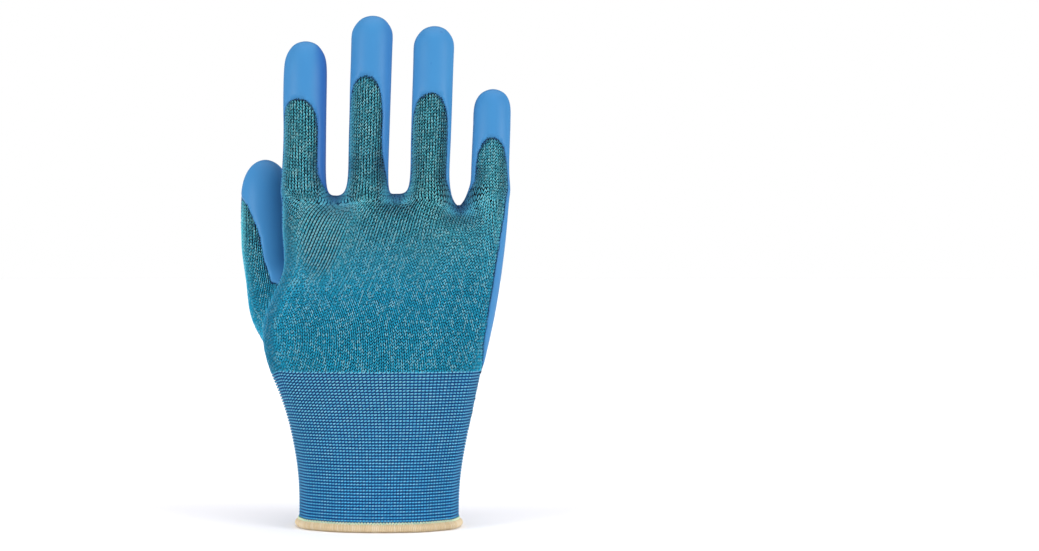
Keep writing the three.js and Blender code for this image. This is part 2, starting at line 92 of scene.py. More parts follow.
@dataclass(frozen=True)
class HandSection:
    """One cross-section of the hand: its edges, thickness, mid-line, thumb ball and squareness."""

    z: float
    left: float
    right: float
    thick: float
    middle: float
    bow: float
    ball: float
    spread: float
    square: float

    def middle_at(self, share: float) -> Span:
        """Returns X and Y of the mid-line at a share of the width."""
        x = self.left + share * (self.right - self.left)
        return x, self.middle + self.bow * (2.0 * share - 1.0) ** 2

    def surface_at(self, share: float, side: int) -> Span:
        """Finds X and Y of the surface at a share of the width.

        Args:
            share: 0 at the thumb's edge, 1 at the other.
            side: -1 for the back of the hand, 1 for the palm.

        Returns:
            The place, in millimetres.
        """
        x, y = self.middle_at(share)
        ball = self.ball * math.exp(-(((share - BALL_MIDDLE) / BALL_REACH) ** 2)) if side > 0 else 0.0
        reach = abs(2.0 * share - 1.0) ** self.square
        half = self.thick / 2.0 * (1.0 - reach) ** (1.0 / self.square)
        return x, y + side * half + ball


HAND_SECTIONS = (
    HandSection(1.9, -37.2, 36.6, 42.0, 0.0, 0.0, 0.0, 0.0, 2.2),
    HandSection(24.6, -37.7, 37.6, 40.0, 0.0, 0.0, 0.0, 0.0, 2.2),
    HandSection(50.6, -42.6, 42.4, 37.0, 0.0, 0.5, 1.5, 0.4, 2.3),
    HandSection(72.6, -50.6, 47.1, 35.0, 0.5, 1.0, 4.0, 0.8, 2.4),
    HandSection(95.6, -53.4, 52.2, 32.5, 0.0, 1.0, 8.0, 1.0, 2.6),
    HandSection(116.1, -44.9, 55.6, 29.5, -0.5, 1.5, 1.0, 0.5, 2.8),
    HandSection(135.1, -44.6, 57.9, 25.0, -1.0, 2.0, 0.0, 0.1, 3.0),
    HandSection(150.4, -44.8, 59.3, 20.6, -1.0, 2.5, 0.0, 0.0, 3.4),
)
KNUCKLES = HAND_SECTIONS[-1]
CUFF_TOP_SECTION = 3
THUMB_ROOT_SECTION = 3

# Across the hand: its columns, how far the palm's are spread by the thumb, and the webs.
COLUMNS = (0.035, 0.096, 0.23, 0.373, 0.505, 0.651, 0.785, 0.918, 0.965)
PALM_SPREAD = (0.05, 0.1, 0.06, 0.02, 0.0, 0.0, 0.0, 0.0, 0.0)
WEB_COLUMNS = (2, 4, 6)
WEB_HEIGHTS = (152.6, 153.4, 148.0)
WEB_DIP = 3.5


@dataclass(frozen=True)
class Finger:
    """One finger: its middle, height, widths and curl, and how much its tip is narrowed."""

    region: Region
    root_x: float
    tip_x: float
    tip_z: float
    root_width: float
    tip_width: float
    curl: float
    pointed: float


FINGERS = (
    Finger(Region.INDEX, -35.3, -34.5, 224.5, 18.5, 18.3, 7.0, 0.07),
    Finger(Region.MIDDLE, -5.9, -3.2, 236.3, 17.0, 17.5, 8.0, 0.0),
    Finger(Region.RING, 22.7, 25.7, 231.5, 16.5, 17.1, 8.0, 0.0),
    Finger(Region.LITTLE, 50.8, 52.9, 202.1, 16.1, 15.3, 5.5, 0.0),
)
FINGER_FLATNESS = 0.98


@dataclass(frozen=True)
class FingerRing:
    """A finger's cross-section: share of its length, how far back from there, share of its width."""

    share: float
    back: float
    swell: float
    point: float


FINGER_PROFILE = (
    FingerRing(0.0, -6.0, 1.09, 0.0),
    FingerRing(0.3, 0.0, 1.0, 0.0),
    FingerRing(0.62, 0.0, 1.0, 0.0),
    FingerRing(1.0, 13.0, 1.0, 0.1),
    FingerRing(1.0, 5.6, 0.93, 1.0),
    FingerRing(1.0, 1.7, 0.6, 0.6),
)


@dataclass(frozen=True)
class FingerKnit:
    """The bare knit on a finger's back: a tongue with a round end, its sides in degrees.

    open is how far its stitches stand apart, as a share of the most, and thick how much painted
    shade darkens the film on the finger's inner side.
    """

    top: float
    reach: float
    middle: float
    start: float
    end: float
    flare: float
    root_end: float
    open: float
    thick: float


FINGER_KNIT = {
    Region.INDEX: FingerKnit(197.8, 15.0, -16.0, -90.0, 43.0, 14.0, 90.0, 0.95, 0.9),
    Region.MIDDLE: FingerKnit(208.4, 20.0, -10.0, -90.0, 43.0, 28.0, 90.0, 1.0, 0.35),
    Region.RING: FingerKnit(200.3, 19.0, -3.0, -84.0, 60.0, 12.0, 90.0, 1.0, 0.0),
    Region.LITTLE: FingerKnit(179.9, 18.0, -4.0, -60.0, 66.0, 12.0, 66.0, 0.72, 0.0),
}
ROOT_START = -90.0


@dataclass(frozen=True)
class ThumbSection:
    """A cross-section of the thumb: its middle, width, depth and lean from level in degrees."""

    x: float
    y: float
    z: float
    width: float
    depth: float
    lean: float


THUMB_SECTIONS = (
    ThumbSection(-50.6, 16.6, 103.2, 29.0, 22.0, 58.0),
    ThumbSection(-51.9, 24.6, 116.6, 25.2, 22.8, 24.0),
    ThumbSection(-53.4, 26.5, 128.9, 24.8, 23.4, 6.0),
    ThumbSection(-54.5, 28.8, 144.6, 23.4, 21.6, 0.0),
    ThumbSection(-54.9, 30.8, 161.1, 20.0, 18.2, 0.0),
    ThumbSection(-55.0, 31.6, 168.6, 11.8, 11.0, 0.0),
)
THUMB_TIP = (-55.1, 31.8, 171.2)


@dataclass(frozen=True)
class KnitSpan:
    """The bare knit on the thumb at one height, in degrees round the thumb."""

    z: float
    start: float
    end: float


THUMB_KNIT = (
    KnitSpan(80.6, -145.0, 110.0),
    KnitSpan(96.6, -133.0, 85.0),
    KnitSpan(109.6, -125.0, 50.0),
    KnitSpan(113.1, -122.0, 4.0),
    KnitSpan(123.6, -112.0, -8.0),
    KnitSpan(132.1, -104.0, -11.0),
    KnitSpan(138.2, -97.0, -18.0),
    KnitSpan(144.6, -93.0, -32.0),
    KnitSpan(149.8, -91.0, -47.0),
    KnitSpan(154.6, -89.0, -86.0),
)


@dataclass(frozen=True)
class OpenBand:
    """Where the leaning wales below the index finger stand open: the band's middle and half width."""

    z: float
    middle: float
    half: float


OPEN_BAND = (
    OpenBand(104.0, -31.0, 3.0),
    OpenBand(110.0, -30.0, 6.0),
    OpenBand(118.6, -28.5, 10.0),
    OpenBand(132.0, -26.5, 16.0),
    OpenBand(148.0, -23.5, 20.0),
    OpenBand(152.0, -22.5, 21.0),
)


@dataclass(frozen=True)
class Mark:
    """A row of a table with two columns: a place, and the value there."""

    place: float
    value: float


def marks(*rows: Span) -> tuple[Mark, ...]:
    """Returns a table with two columns."""
    return tuple(Mark(*row) for row in rows)


# By row of the skin, how far the wales below the index finger have moved towards its web.
WALE_LEAN = marks((0.0, 0.0), (4.6, 0.0), (5.0, 2.2), (6.0, 11.5), (6.6, 16.5), (7.0, 21.0))
# By share of the hand's width, the height of the film's lower edge.
FILM_EDGE = marks(
    (0.0, 108.6), (0.026, 82.6), (0.052, 63.6), (0.1, 51.6), (0.18, 38.6),
    (0.36, 36.0), (0.59, 37.0), (0.86, 40.2), (0.975, 43.0), (1.0, 46.6),
)
# By height, how far the film wraps round the little finger's side of the hand.
SIDE_WRAP = marks(
    (42.6, -2.0), (70.6, -2.0), (76.6, 3.0), (84.6, 6.0), (101.6, 7.5),
    (116.6, 7.5), (127.6, 6.5), (135.6, 5.5), (143.6, 4.2), (150.4, 3.5),
)
SIDE_WRAP_FROM = 0.7

# How closely the skin is fitted to the cage, and how often each of its faces is split in four.
FIT_PASSES = 12
SKIN_LEVELS = 3
GUIDE_LEVELS = 4

# The rings of the fingers and the thumb, in points and degrees.
RING_POINTS = 8
RING_START = -45.0

# What stands in a tube's row where it has no face.
NO_FACE = -1

# Columns and rows of the skin's tubes, along which the stitches are spaced.
BACK_COLUMN = 5.0
FINGER_COLUMN = 1.0
WALE_ROW = 5.2
CUFF_ROW = 1.5
THUMB_TOP_ROW = 5.0


def look_up(rows: Sequence[object], value: str, at: Array, key: str = "z") -> Array:
    """Reads a table between its rows, or carried on past its ends.

    Args:
        rows: The table's rows, in rising order of the key.
        value: The column that is read.
        at: Where to read, in the key's units.
        key: The column that is searched.

    Returns:
        The value at each place.
    """
    keys = np.array([getattr(row, key) for row in rows])
    values = np.array([getattr(row, value) for row in rows])
    k = np.clip(np.searchsorted(keys, at, side="right"), 1, len(keys) - 1)
    share = (at - keys[k - 1]) / (keys[k] - keys[k - 1])
    return values[k - 1] + share * (values[k] - values[k - 1])


def read_marks(table: Sequence[Mark], at: Array) -> Array:
    """Reads a table with two columns."""
    return look_up(table, "value", at, "place")


def rising(at: Array, start: float, end: float) -> Array:
    """Rises smoothly from 0 at the start to 1 at the end."""
    s = np.clip((at - start) / (end - start), 0.0, 1.0)
    return s * s * (3.0 - 2.0 * s)


def falling(at: Array, start: float, end: float) -> Array:
    """Falls smoothly from 1 at the start to 0 at the end."""
    return 1.0 - rising(at, start, end)


def straight(u: Array, v: Array) -> Array:
    """Returns the columns u as they are, at any rows v."""
    return u


def unit(vectors: Array) -> Array:
    """Returns vectors with a length of 1."""
    return vectors / np.maximum(np.linalg.norm(vectors, axis=1), TINY)[:, None]


def distances(line: Array) -> Array:
    """Returns how far along a line each of its points lies."""
    return np.concatenate([[0.0], np.cumsum(np.linalg.norm(np.diff(line, axis=0), axis=1))])


def read_line(at: Array, length: Array, values: Array) -> Array:
    """Reads vectors along a line, at distances along it."""
    return np.stack([np.interp(at, length, values[:, k]) for k in range(3)], axis=1)


def face_sides(faces: Array) -> Array:
    """Returns the two ends of each side of each face."""
    return np.stack([faces, np.roll(faces, -1, axis=1)], axis=2).reshape(-1, 2)


def edges_of(faces: Array) -> tuple[Array, Array]:
    """Returns the edges of some faces, and the edge on each side of each face."""
    edges, index = np.unique(np.sort(face_sides(faces), axis=1), axis=0, return_inverse=True)
    return edges, index.reshape(faces.shape)


def open_sides(faces: Array) -> list[tuple[int, int]]:
    """Returns the sides that no other face shares, each from its start to its end."""
    known = {(int(a), int(b)) for a, b in face_sides(faces)}
    return [(a, b) for a, b in known if (b, a) not in known]


def gathered(count: int, where: Array, what: Array) -> Array:
    """Adds up vectors at points.

    Args:
        count: How many points there are.
        where: The point that each vector belongs to.
        what: The vectors.

    Returns:
        The sum at each point.
    """
    total = np.zeros((count, 3))
    np.add.at(total, where, what)
    return total


def finger_frame(finger: Finger, z: Array) -> tuple[Array, Array, Array, Array]:
    """Finds a finger's middle at given heights.

    Args:
        finger: The finger.
        z: The heights, in millimetres.

    Returns:
        The middle in X, the middle in Y, the width and the slope of the middle towards the palm.
    """
    _, middle = KNUCKLES.middle_at((finger.root_x - KNUCKLES.left) / (KNUCKLES.right - KNUCKLES.left))
    length = finger.tip_z - KNUCKLES.z
    s = np.clip((z - KNUCKLES.z) / length, 0.0, 1.0)
    x = finger.root_x + s * (finger.tip_x - finger.root_x)
    width = finger.root_width + s * (finger.tip_width - finger.root_width)
    return x, middle + finger.curl * s * s, width, 2.0 * finger.curl * s / length


def oval(half_width: float, half_depth: float) -> list[Span]:
    """Returns X and Y of a ring of points, which starts between the thumb's side and the back."""
    turns = [math.radians(RING_START + 360.0 / RING_POINTS * i) for i in range(RING_POINTS)]
    return [(half_width * math.sin(turn), -half_depth * math.cos(turn)) for turn in turns]


@dataclass
class QuadMesh:
    """A mesh of four-sided faces that can be subdivided.

    patch is the cage face that each face came from, and corner is where the face's corners lie in
    that cage face, as shares across it and up it.
    """

    points: Array
    quads: Array
    region: Array
    patch: Array
    corner: Array

    def _joined_to(self, edges: Array) -> Array:
        """Returns the sum of the points that some edges join to each point."""
        first, second = edges[:, 0], edges[:, 1]
        total = gathered(len(self.points), first, self.points[second])
        return total + gathered(len(self.points), second, self.points[first])

    def _rim(self, rim: Array) -> tuple[Array, Array]:
        """Returns which points are on the rim, and the sum of their neighbours on it."""
        on_rim = np.bincount(rim.ravel(), minlength=len(self.points)) > 0
        return on_rim[:, None], self._joined_to(rim)

    def limits(self) -> Array:
        """Finds where the points end up when the mesh is subdivided for ever.

        Returns:
            The place of each point.
        """
        edges, sides = edges_of(self.quads)
        on_rim, rim_total = self._rim(edges[np.bincount(sides.ravel()) == 1])
        corners = self.quads.ravel()
        across = self.points[np.roll(self.quads, -2, axis=1)].reshape(-1, 3)
        far = gathered(len(self.points), corners, across)
        n = np.bincount(corners, minlength=len(self.points))[:, None]
        near = self._joined_to(edges)
        inner = (n * n * self.points + 4.0 * near + far) / np.maximum(n * (n + 5), 1)
        out = np.where(on_rim, (4.0 * self.points + rim_total) / 6.0, inner)
        return np.where(n > 0, out, self.points)

    def fitted(self, passes: int) -> "QuadMesh":
        """Swells the cage until the smooth surface passes through its points."""
        mesh = replace(self)
        for _ in range(passes):
            mesh.points = mesh.points + self.points - mesh.limits()
        return mesh

    def subdivided(self) -> "QuadMesh":
        """Splits each face in four and smooths the mesh, which keeps the same limits.

        Returns:
            The finer mesh.
        """
        points, quads, c = self.points, self.quads, self.corner
        count = len(points)
        edges, sides = edges_of(quads)
        single = np.bincount(sides.ravel()) == 1
        on_rim, rim_total = self._rim(edges[single])
        middles = points[quads].mean(axis=1)
        at_corners = np.repeat(middles, 4, axis=0)
        ends = points[edges].sum(axis=1)
        beside = gathered(len(edges), sides.ravel(), at_corners)
        edge_points = np.where(single[:, None], ends / 2.0, (ends + beside) / 4.0)
        n = np.maximum(np.bincount(quads.ravel(), minlength=count), 1)[:, None]
        degree = np.maximum(np.bincount(edges.ravel(), minlength=count), 1)[:, None]
        face_mean = gathered(count, quads.ravel(), at_corners) / n
        halves = gathered(count, edges.ravel(), np.repeat(ends / 2.0, 2, axis=0)) / degree
        inner = (face_mean + 2.0 * halves + (n - 3.0) * points) / n
        moved = np.where(on_rim, (6.0 * points + rim_total) / 8.0, inner)
        face_at = count + np.arange(len(quads))
        edge_at = count + len(quads) + sides
        centre = c.mean(axis=1)
        children, places = [], []
        for i in range(4):
            after = (c[:, i] + c[:, (i + 1) % 4]) / 2.0
            before = (c[:, i] + c[:, i - 1]) / 2.0
            children.append(np.stack([quads[:, i], edge_at[:, i], face_at, edge_at[:, i - 1]], axis=1))
            places.append(np.stack([c[:, i], after, centre, before], axis=1))
        return QuadMesh(
            np.concatenate([moved, middles, edge_points]),
            np.stack(children, axis=1).reshape(-1, 4),
            np.repeat(self.region, 4),
            np.repeat(self.patch, 4),
            np.stack(places, axis=1).reshape(-1, 4, 2),
        )


class GloveCage:
    """Lays out the coarse cage, and remembers which faces make up each tube of it."""

    def __init__(self) -> None:
        """Lays out the hand, then sets the thumb and the fingers on it."""
        self.points: list[Place] = []
        self.faces: list[tuple[int, ...]] = []
        self.regions: list[Region] = []
        self.tubes: dict[Region, list[list[int]]] = {region: [] for region in Region}
        rings = self._hand()
        low, mid, high = rings[THUMB_ROOT_SECTION : THUMB_ROOT_SECTION + 3]
        self._thumb([low[0], mid[0], high[0], high[-1], high[-2], mid[-2], low[-2], low[-1]])
        self._fingers(rings[-1])

    def mesh(self) -> QuadMesh:
        """Returns the cage as a mesh."""
        count = len(self.faces)
        corner = np.tile(np.array([[0, 0], [1, 0], [1, 1], [0, 1]], float), (count, 1, 1))
        region = np.array([r.value for r in self.regions])
        return QuadMesh(np.array(self.points), np.array(self.faces), region, np.arange(count), corner)

    def _point(self, x: float, y: float, z: float) -> int:
        """Adds a point and returns its number."""
        self.points.append((x, y, z))
        return len(self.points) - 1

    def _face(self, region: Region, *corners: int) -> int:
        """Adds a face and returns its number."""
        self.faces.append(corners)
        self.regions.append(region)
        return len(self.faces) - 1

    def _band(
        self, region: Region, tube: Region, lower: list[int], upper: list[int], skip: Sequence[int] = ()
    ) -> None:
        """Joins two rings with a band of faces.

        Args:
            region: The region that the faces belong to.
            tube: The tube that the band is a row of.
            lower: The ring nearer the wrist.
            upper: The ring further from it.
            skip: The columns that are left open.
        """
        row = []
        for i in range(len(lower)):
            k = (i + 1) % len(lower)
            row.append(NO_FACE if i in skip else self._face(region, lower[i], lower[k], upper[k], upper[i]))
        self.tubes[tube].append(row)

    def _tube(self, region: Region, root: list[int], rings: list[list[Place]], tip: Place) -> None:
        """Sets a closed tube on its root: a band up to each ring, and four faces round the tip.

        Args:
            region: The region of its faces, which is also the tube.
            root: The points of the root.
            rings: The places of each ring's points, from the root up.
            tip: The place of its tip.
        """
        lower = root
        for ring in rings:
            upper = [self._point(*place) for place in ring]
            self._band(region, region, lower, upper)
            lower = upper
        middle = self._point(*tip)
        for i in range(0, RING_POINTS, 2):
            self._face(region, lower[i], lower[i + 1], lower[(i + 2) % RING_POINTS], middle)

    def _hand_ring(self, row: HandSection, dips: Sequence[float]) -> list[int]:
        """Adds a ring of the hand.

        Args:
            row: The section that the ring follows.
            dips: How far each column is moved up or down.

        Returns:
            The ring's points: the thumb's edge, the back, the other edge and the palm on the way home.
        """
        edge = row.middle + row.bow
        left = self._point(row.left, edge, row.z)
        back = [self._point(*row.surface_at(share, -1), row.z + dip) for share, dip in zip(COLUMNS, dips)]
        right = self._point(row.right, edge, row.z)
        shares = [share + row.spread * spread for share, spread in zip(COLUMNS, PALM_SPREAD)]
        palm = [self._point(*row.surface_at(share, 1), row.z + dip) for share, dip in zip(shares, dips)]
        return [left, *back, right, *reversed(palm)]

    def _hand(self) -> list[list[int]]:
        """Adds the cuff and the hand, with the hole for the thumb.

        Returns:
            Their rings of points, from the wrist up.
        """
        level = [0.0] * len(COLUMNS)
        dips = list(level)
        for column, height in zip(WEB_COLUMNS, WEB_HEIGHTS):
            dips[column] = height - WEB_DIP - KNUCKLES.z
        rings = [self._hand_ring(row, dips if row is KNUCKLES else level) for row in HAND_SECTIONS]
        size = len(rings[0])
        for r, (lower, upper) in enumerate(zip(rings, rings[1:])):
            at_thumb = r in (THUMB_ROOT_SECTION, THUMB_ROOT_SECTION + 1)
            region = Region.CUFF if r < CUFF_TOP_SECTION else Region.HAND
            self._band(region, Region.HAND, lower, upper, (size - 2, size - 1) if at_thumb else ())
        return rings

    def _thumb(self, root: list[int]) -> None:
        """Adds the thumb.

        Args:
            root: The ring of points round its root.
        """
        rings = []
        for row in THUMB_SECTIONS:
            cos, sin = math.cos(math.radians(row.lean)), math.sin(math.radians(row.lean))
            ring = oval(row.width / 2.0, row.depth / 2.0)
            rings.append([(row.x + out * cos, row.y + dy, row.z + out * sin) for out, dy in ring])
        self._tube(Region.THUMB, root, rings, THUMB_TIP)

    def _fingers(self, top: list[int]) -> None:
        """Adds the webs and the fingers.

        Args:
            top: The hand's last ring of points.
        """
        places = zip(WEB_COLUMNS, WEB_HEIGHTS)
        webs = [self._point(*KNUCKLES.middle_at(COLUMNS[column]), z) for column, z in places]
        edges = [top[0], *webs, top[len(COLUMNS) + 1]]
        for f, finger in enumerate(FINGERS):
            back = top[1 + 2 * f : 4 + 2 * f]
            palm = [top[-1 - 2 * f - k] for k in (2, 1, 0)]
            rings = []
            for row in FINGER_PROFILE:
                z = KNUCKLES.z + row.share * (finger.tip_z - KNUCKLES.z) - row.back
                x, y, width, slope = finger_frame(finger, z)
                across = width * (row.swell - row.point * finger.pointed) / 2.0
                ring = oval(across, across * FINGER_FLATNESS)
                rings.append([(x + dx, y + dy, z - dy * slope) for dx, dy in ring])
            _, tip_y, _, _ = finger_frame(finger, finger.tip_z)
            root = [*back, edges[f + 1], *palm, edges[f]]
            self._tube(finger.region, root, rings, (finger.tip_x, float(tip_y), finger.tip_z))


class Skin:
    """The glove's smooth outer surface at one fineness, in millimetres."""

    def __init__(self, cage: GloveCage, levels: int) -> None:
        """Makes the smooth surface.

        Args:
            cage: The coarse cage.
            levels: How many times each face is split in four.
        """
        mesh = cage.mesh().fitted(FIT_PASSES)
        for _ in range(levels):
            mesh = mesh.subdivided()
        mesh.points = mesh.limits()
        self.cage = cage
        self.mesh = mesh
        self.parts = 2**levels
        self.points = mesh.points
        self.normals = self._normals()
        self.point_region = self._point_regions()

    def _normals(self) -> Array:
        """Returns the outward direction at each point."""
        a, b, c, d = (self.points[self.mesh.quads[:, i]] for i in range(4))
        normal = np.repeat(np.cross(c - a, d - b), 4, axis=0)
        return unit(gathered(len(self.points), self.mesh.quads.ravel(), normal))

    def _point_regions(self) -> Array:
        """Finds each point's region.

        Returns:
            The region's number, which is the hand's where two regions meet.
        """
        corners = self.mesh.quads.ravel()
        region = np.repeat(self.mesh.region, 4)
        low = np.full(len(self.points), len(Region))
        high = np.full(len(self.points), -1)
        np.minimum.at(low, corners, region)
        np.maximum.at(high, corners, region)
        return np.where(low == high, low, Region.HAND.value)

    def quads_of(self, regions: Sequence[Region]) -> Array:
        """Returns the faces that belong to some regions."""
        return self.mesh.quads[np.isin(self.mesh.region, [r.value for r in regions])]

    def patch_grids(self) -> Array:
        """Lays out the points of each cage face as a grid.

        Returns:
            The numbers of the points, by cage face, row and column.
        """
        n = self.parts
        grids = np.zeros((len(self.cage.faces), n + 1, n + 1), int)
        place = np.rint(self.mesh.corner * n).astype(int)
        patch = np.repeat(self.mesh.patch, 4)
        grids[patch, place[:, :, 1].ravel(), place[:, :, 0].ravel()] = self.mesh.quads.ravel()
        return grids


class BareKnit:
    """Says where the knit is bare and where the film covers it."""

    def _on_finger(self, finger: Finger, p: Array) -> Array:
        """Measures how far points of a finger lie inside the bare knit on its back.

        Args:
            finger: The finger.
            p: The points, in millimetres.

        Returns:
            Millimetres, below zero outside it.
        """
        knit = FINGER_KNIT[finger.region]
        x, y, width, _ = finger_frame(finger, p[:, 2])
        flare = falling(p[:, 2], KNUCKLES.z, KNUCKLES.z + knit.flare)
        start = knit.start + flare * (ROOT_START - knit.start)
        end = knit.end + flare * (knit.root_end - knit.end)
        aside = np.degrees(np.arctan2(p[:, 0] - x, (y - p[:, 1]) / FINGER_FLATNESS)) - knit.middle
        half = np.where(aside < 0, knit.middle - start, end - knit.middle)
        past = np.maximum(0.0, p[:, 2] - (knit.top - knit.reach))
        return (1.0 - np.hypot(aside / half, past / knit.reach)) * np.radians(half) * width / 2.0

    def _on_thumb(self, p: Array) -> Array:
        """Measures how far points of the thumb lie inside its bare knit.

        Args:
            p: The points, in millimetres.

        Returns:
            Millimetres, below zero outside it.
        """
        section = partial(look_up, THUMB_SECTIONS, at=p[:, 2])
        knit = partial(look_up, THUMB_KNIT, at=p[:, 2])
        turn = np.arctan2(p[:, 0] - section("x"), section("y") - p[:, 1])
        inside = np.minimum(turn - np.radians(knit("start")), np.radians(knit("end")) - turn)
        return inside * section("width") / 2.0

    def _on_hand(self, p: Array) -> Array:
        """Measures how far points of the hand or the cuff lie inside the bare knit.

        Args:
            p: The points, in millimetres.

        Returns:
            Millimetres, below zero outside it.
        """
        z = p[:, 2]
        section = partial(look_up, HAND_SECTIONS, at=z)
        left = section("left")
        share = np.clip((p[:, 0] - left) / (section("right") - left), 0.0, 1.0)
        wrap = np.where(share > SIDE_WRAP_FROM, read_marks(SIDE_WRAP, z), 0.0)
        to_back = section("middle") + section("bow") * (2.0 * share - 1.0) ** 2 - wrap - p[:, 1]
        return np.maximum(to_back, read_marks(FILM_EDGE, share) - z)

    def depth(self, region: Array | int, p: Array) -> Array:
        """Measures how far points lie inside the bare knit.

        Args:
            region: The region of each point, or of them all.
            p: The points, in millimetres.

        Returns:
            Millimetres, below zero where the film covers the knit.
        """
        region = np.broadcast_to(region, len(p))
        out = self._on_hand(p)
        for finger in FINGERS:
            here = region == finger.region.value
            out[here] = self._on_finger(finger, p[here])
        here = region == Region.THUMB.value
        out[here] = self._on_thumb(p[here])
        return out


@dataclass
class Sites:
    """Places for a repeated shape.

    at is where each one stands, in metres. out is its outward direction and up the direction that
    its length follows. across and rise are its sizes, in metres, and shade is a number from 0 to 1
    that its colour varies by. soak, from 0 to 1, is how much film it has taken up by the film's
    edge, and elsewhere painted shade on the knit's and the cuff's sides, the hand's edge and round the
    webs. spread, from -1 to 1, is how far its neighbours stand apart, which also deepens the painted
    shade on its flanks.
    """

    at: Array
    out: Array
    up: Array
    across: Array
    rise: Array
    shade: Array
    soak: Array | None = None
    spread: Array | None = None

    def __post_init__(self) -> None:
        """Fills in what is left out: no film taken up and no painted shade, and neighbours that stand
        apart.
        """
        if self.soak is None:
            self.soak = np.zeros(len(self.at))
        if self.spread is None:
            self.spread = np.ones(len(self.at))

    @classmethod
    def joined(cls, parts: Sequence["Sites"]) -> "Sites":
        """Returns several sets of places as one."""
        names = [field.name for field in fields(cls)]
        return cls(*(np.concatenate([getattr(part, name) for part in parts]) for name in names))

    def kept(self, mask: Array) -> "Sites":
        """Returns only the places that a mask picks."""
        return Sites(*(getattr(self, field.name)[mask] for field in fields(self)))


class TubeGrid:
    """A tube of the skin as a grid of points: columns go round it and rows go up it.

    A column and a row are measured at so many samples, and near is how many columns away from a
    place its width is measured.
    """

    column_samples = 400
    row_samples = 800
    near = 0.3

    def __init__(self, skin: Skin, tube: Region) -> None:
        """Gathers the tube's points.

        Args:
            skin: The smooth surface.
            tube: Which tube of the cage.
        """
        rows = skin.cage.tubes[tube]
        self.region = tube
        self.columns = len(rows[0])
        self.n = skin.parts
        grids = skin.patch_grids()
        shape = (len(rows) * self.n + 1, self.columns * self.n + 1, 3)
        self.points = np.full(shape, np.nan)
        self.normals = np.full(shape, np.nan)
        for r, row in enumerate(rows):
            for c, face in enumerate(row):
                if face != NO_FACE:
                    rs = slice(r * self.n, (r + 1) * self.n + 1)
                    cs = slice(c * self.n, (c + 1) * self.n + 1)
                    self.points[rs, cs] = skin.points[grids[face]]
                    self.normals[rs, cs] = skin.normals[grids[face]]

    def read(self, grid: Array, u: Array, v: Array) -> Array:
        """Reads a grid between its points.

        Args:
            grid: The tube's points or normals.
            u: The columns.
            v: The rows.

        Returns:
            The vector at each crossing, which is not a number where the tube is open.
        """
        iu = np.mod(u, self.columns) * self.n
        iv = np.clip(v * self.n, 0.0, grid.shape[0] - 1.0)
        a = np.minimum(iu.astype(int), grid.shape[1] - 2)
        b = np.minimum(iv.astype(int), grid.shape[0] - 2)
        fu, fv = (iu - a)[..., None], (iv - b)[..., None]
        low = grid[b, a] * (1 - fu) + grid[b, a + 1] * fu
        high = grid[b + 1, a] * (1 - fu) + grid[b + 1, a + 1] * fu
        return low * (1 - fv) + high * fv

    def spaced_rows(self, u: float, start: float, end: float, pitch: float) -> Array:
        """Spaces rows evenly along one column.

        Args:
            u: The column that is measured.
            start: The first row.
            end: The last row.
            pitch: The wanted distance from row to row, in millimetres.

        Returns:
            The middle of each space, as rows of the grid.
        """
        v = np.linspace(start, end, self.column_samples)
        return self._spaced(v, self.read(self.points, np.full_like(v, u), v), pitch)

    def spaced_columns(self, v: float, start: float, end: float, pitch: float) -> Array:
        """Spaces columns evenly along one row, as spaced_rows does up a column."""
        u = np.linspace(start, end, self.row_samples)
        return self._spaced(u, self.read(self.points, u, np.full_like(u, v)), pitch)

    @staticmethod
    def _spaced(at: Array, points: Array, pitch: float) -> Array:
        """Returns evenly spaced places on a line through points."""
        length = distances(points)
        count = max(1, round(length[-1] / pitch))
        return np.interp((np.arange(count) + 0.5) / count * length[-1], length, at)

    def _beside(self, u: Array, v: Array, p: Array) -> tuple[Array, Array]:
        """Reads the points beside others.

        Args:
            u: The columns beside them.
            v: The rows.
            p: The others.

        Returns:
            The points and how many columns away they are: the others and none where the tube is open.
        """
        beside = self.read(self.points, u, v)
        there = np.isfinite(beside).all(axis=1)
        return np.where(there[:, None], beside, p), self.near * there

    def sites(
        self, us: Array, vs: Array, lift: float, rng: Random, sway: Sway = straight, slip: float = 0.0
    ) -> tuple[Sites, Array]:
        """Stands a place at each crossing of columns and rows.

        Args:
            us: The columns.
            vs: The rows.
            lift: How far each place stands off the skin, in millimetres.
            rng: Where the shades come from.
            sway: Where a column runs at a row, for columns that lean.
            slip: The most that a column is moved along itself, as a share of a row.

        Returns:
            The places, and the point of the skin below each, in millimetres.
        """
        u, v = (a.ravel() for a in np.meshgrid(us, vs))
        step_u, step_v = (a.ravel() for a in np.meshgrid(np.gradient(us), np.gradient(vs)))
        last = (self.points.shape[0] - 1.0) / self.n
        v = np.clip(v + np.tile(rng.uniform(-slip, slip, len(us)), len(vs)) * step_v, 0.0, last)
        place = sway(u, v)
        p = self.read(self.points, place, v)
        normal = self.read(self.normals, place, v)
        right, right_step = self._beside(sway(u + self.near, v), v, p)
        left, left_step = self._beside(sway(u - self.near, v), v, p)
        width = np.linalg.norm(right - left, axis=1) / np.maximum(right_step + left_step, TINY) * step_u
        low, high = np.maximum(v - self.near / 3, 0.0), np.minimum(v + self.near / 3, last)
        along = self.read(self.points, sway(u, high), high) - self.read(self.points, sway(u, low), low)
        rise = np.linalg.norm(along, axis=1) / (high - low) * step_v
        shade = rng.random(len(p))
        sites = Sites((p + normal * lift) * MM, normal, along, width * MM, rise * MM, shade)
        good = np.isfinite(p).all(axis=1) & (width > 0.0) & np.isfinite(along).all(axis=1)
        return sites.kept(good), p[good]


STRONG_LIGHT = 0.68


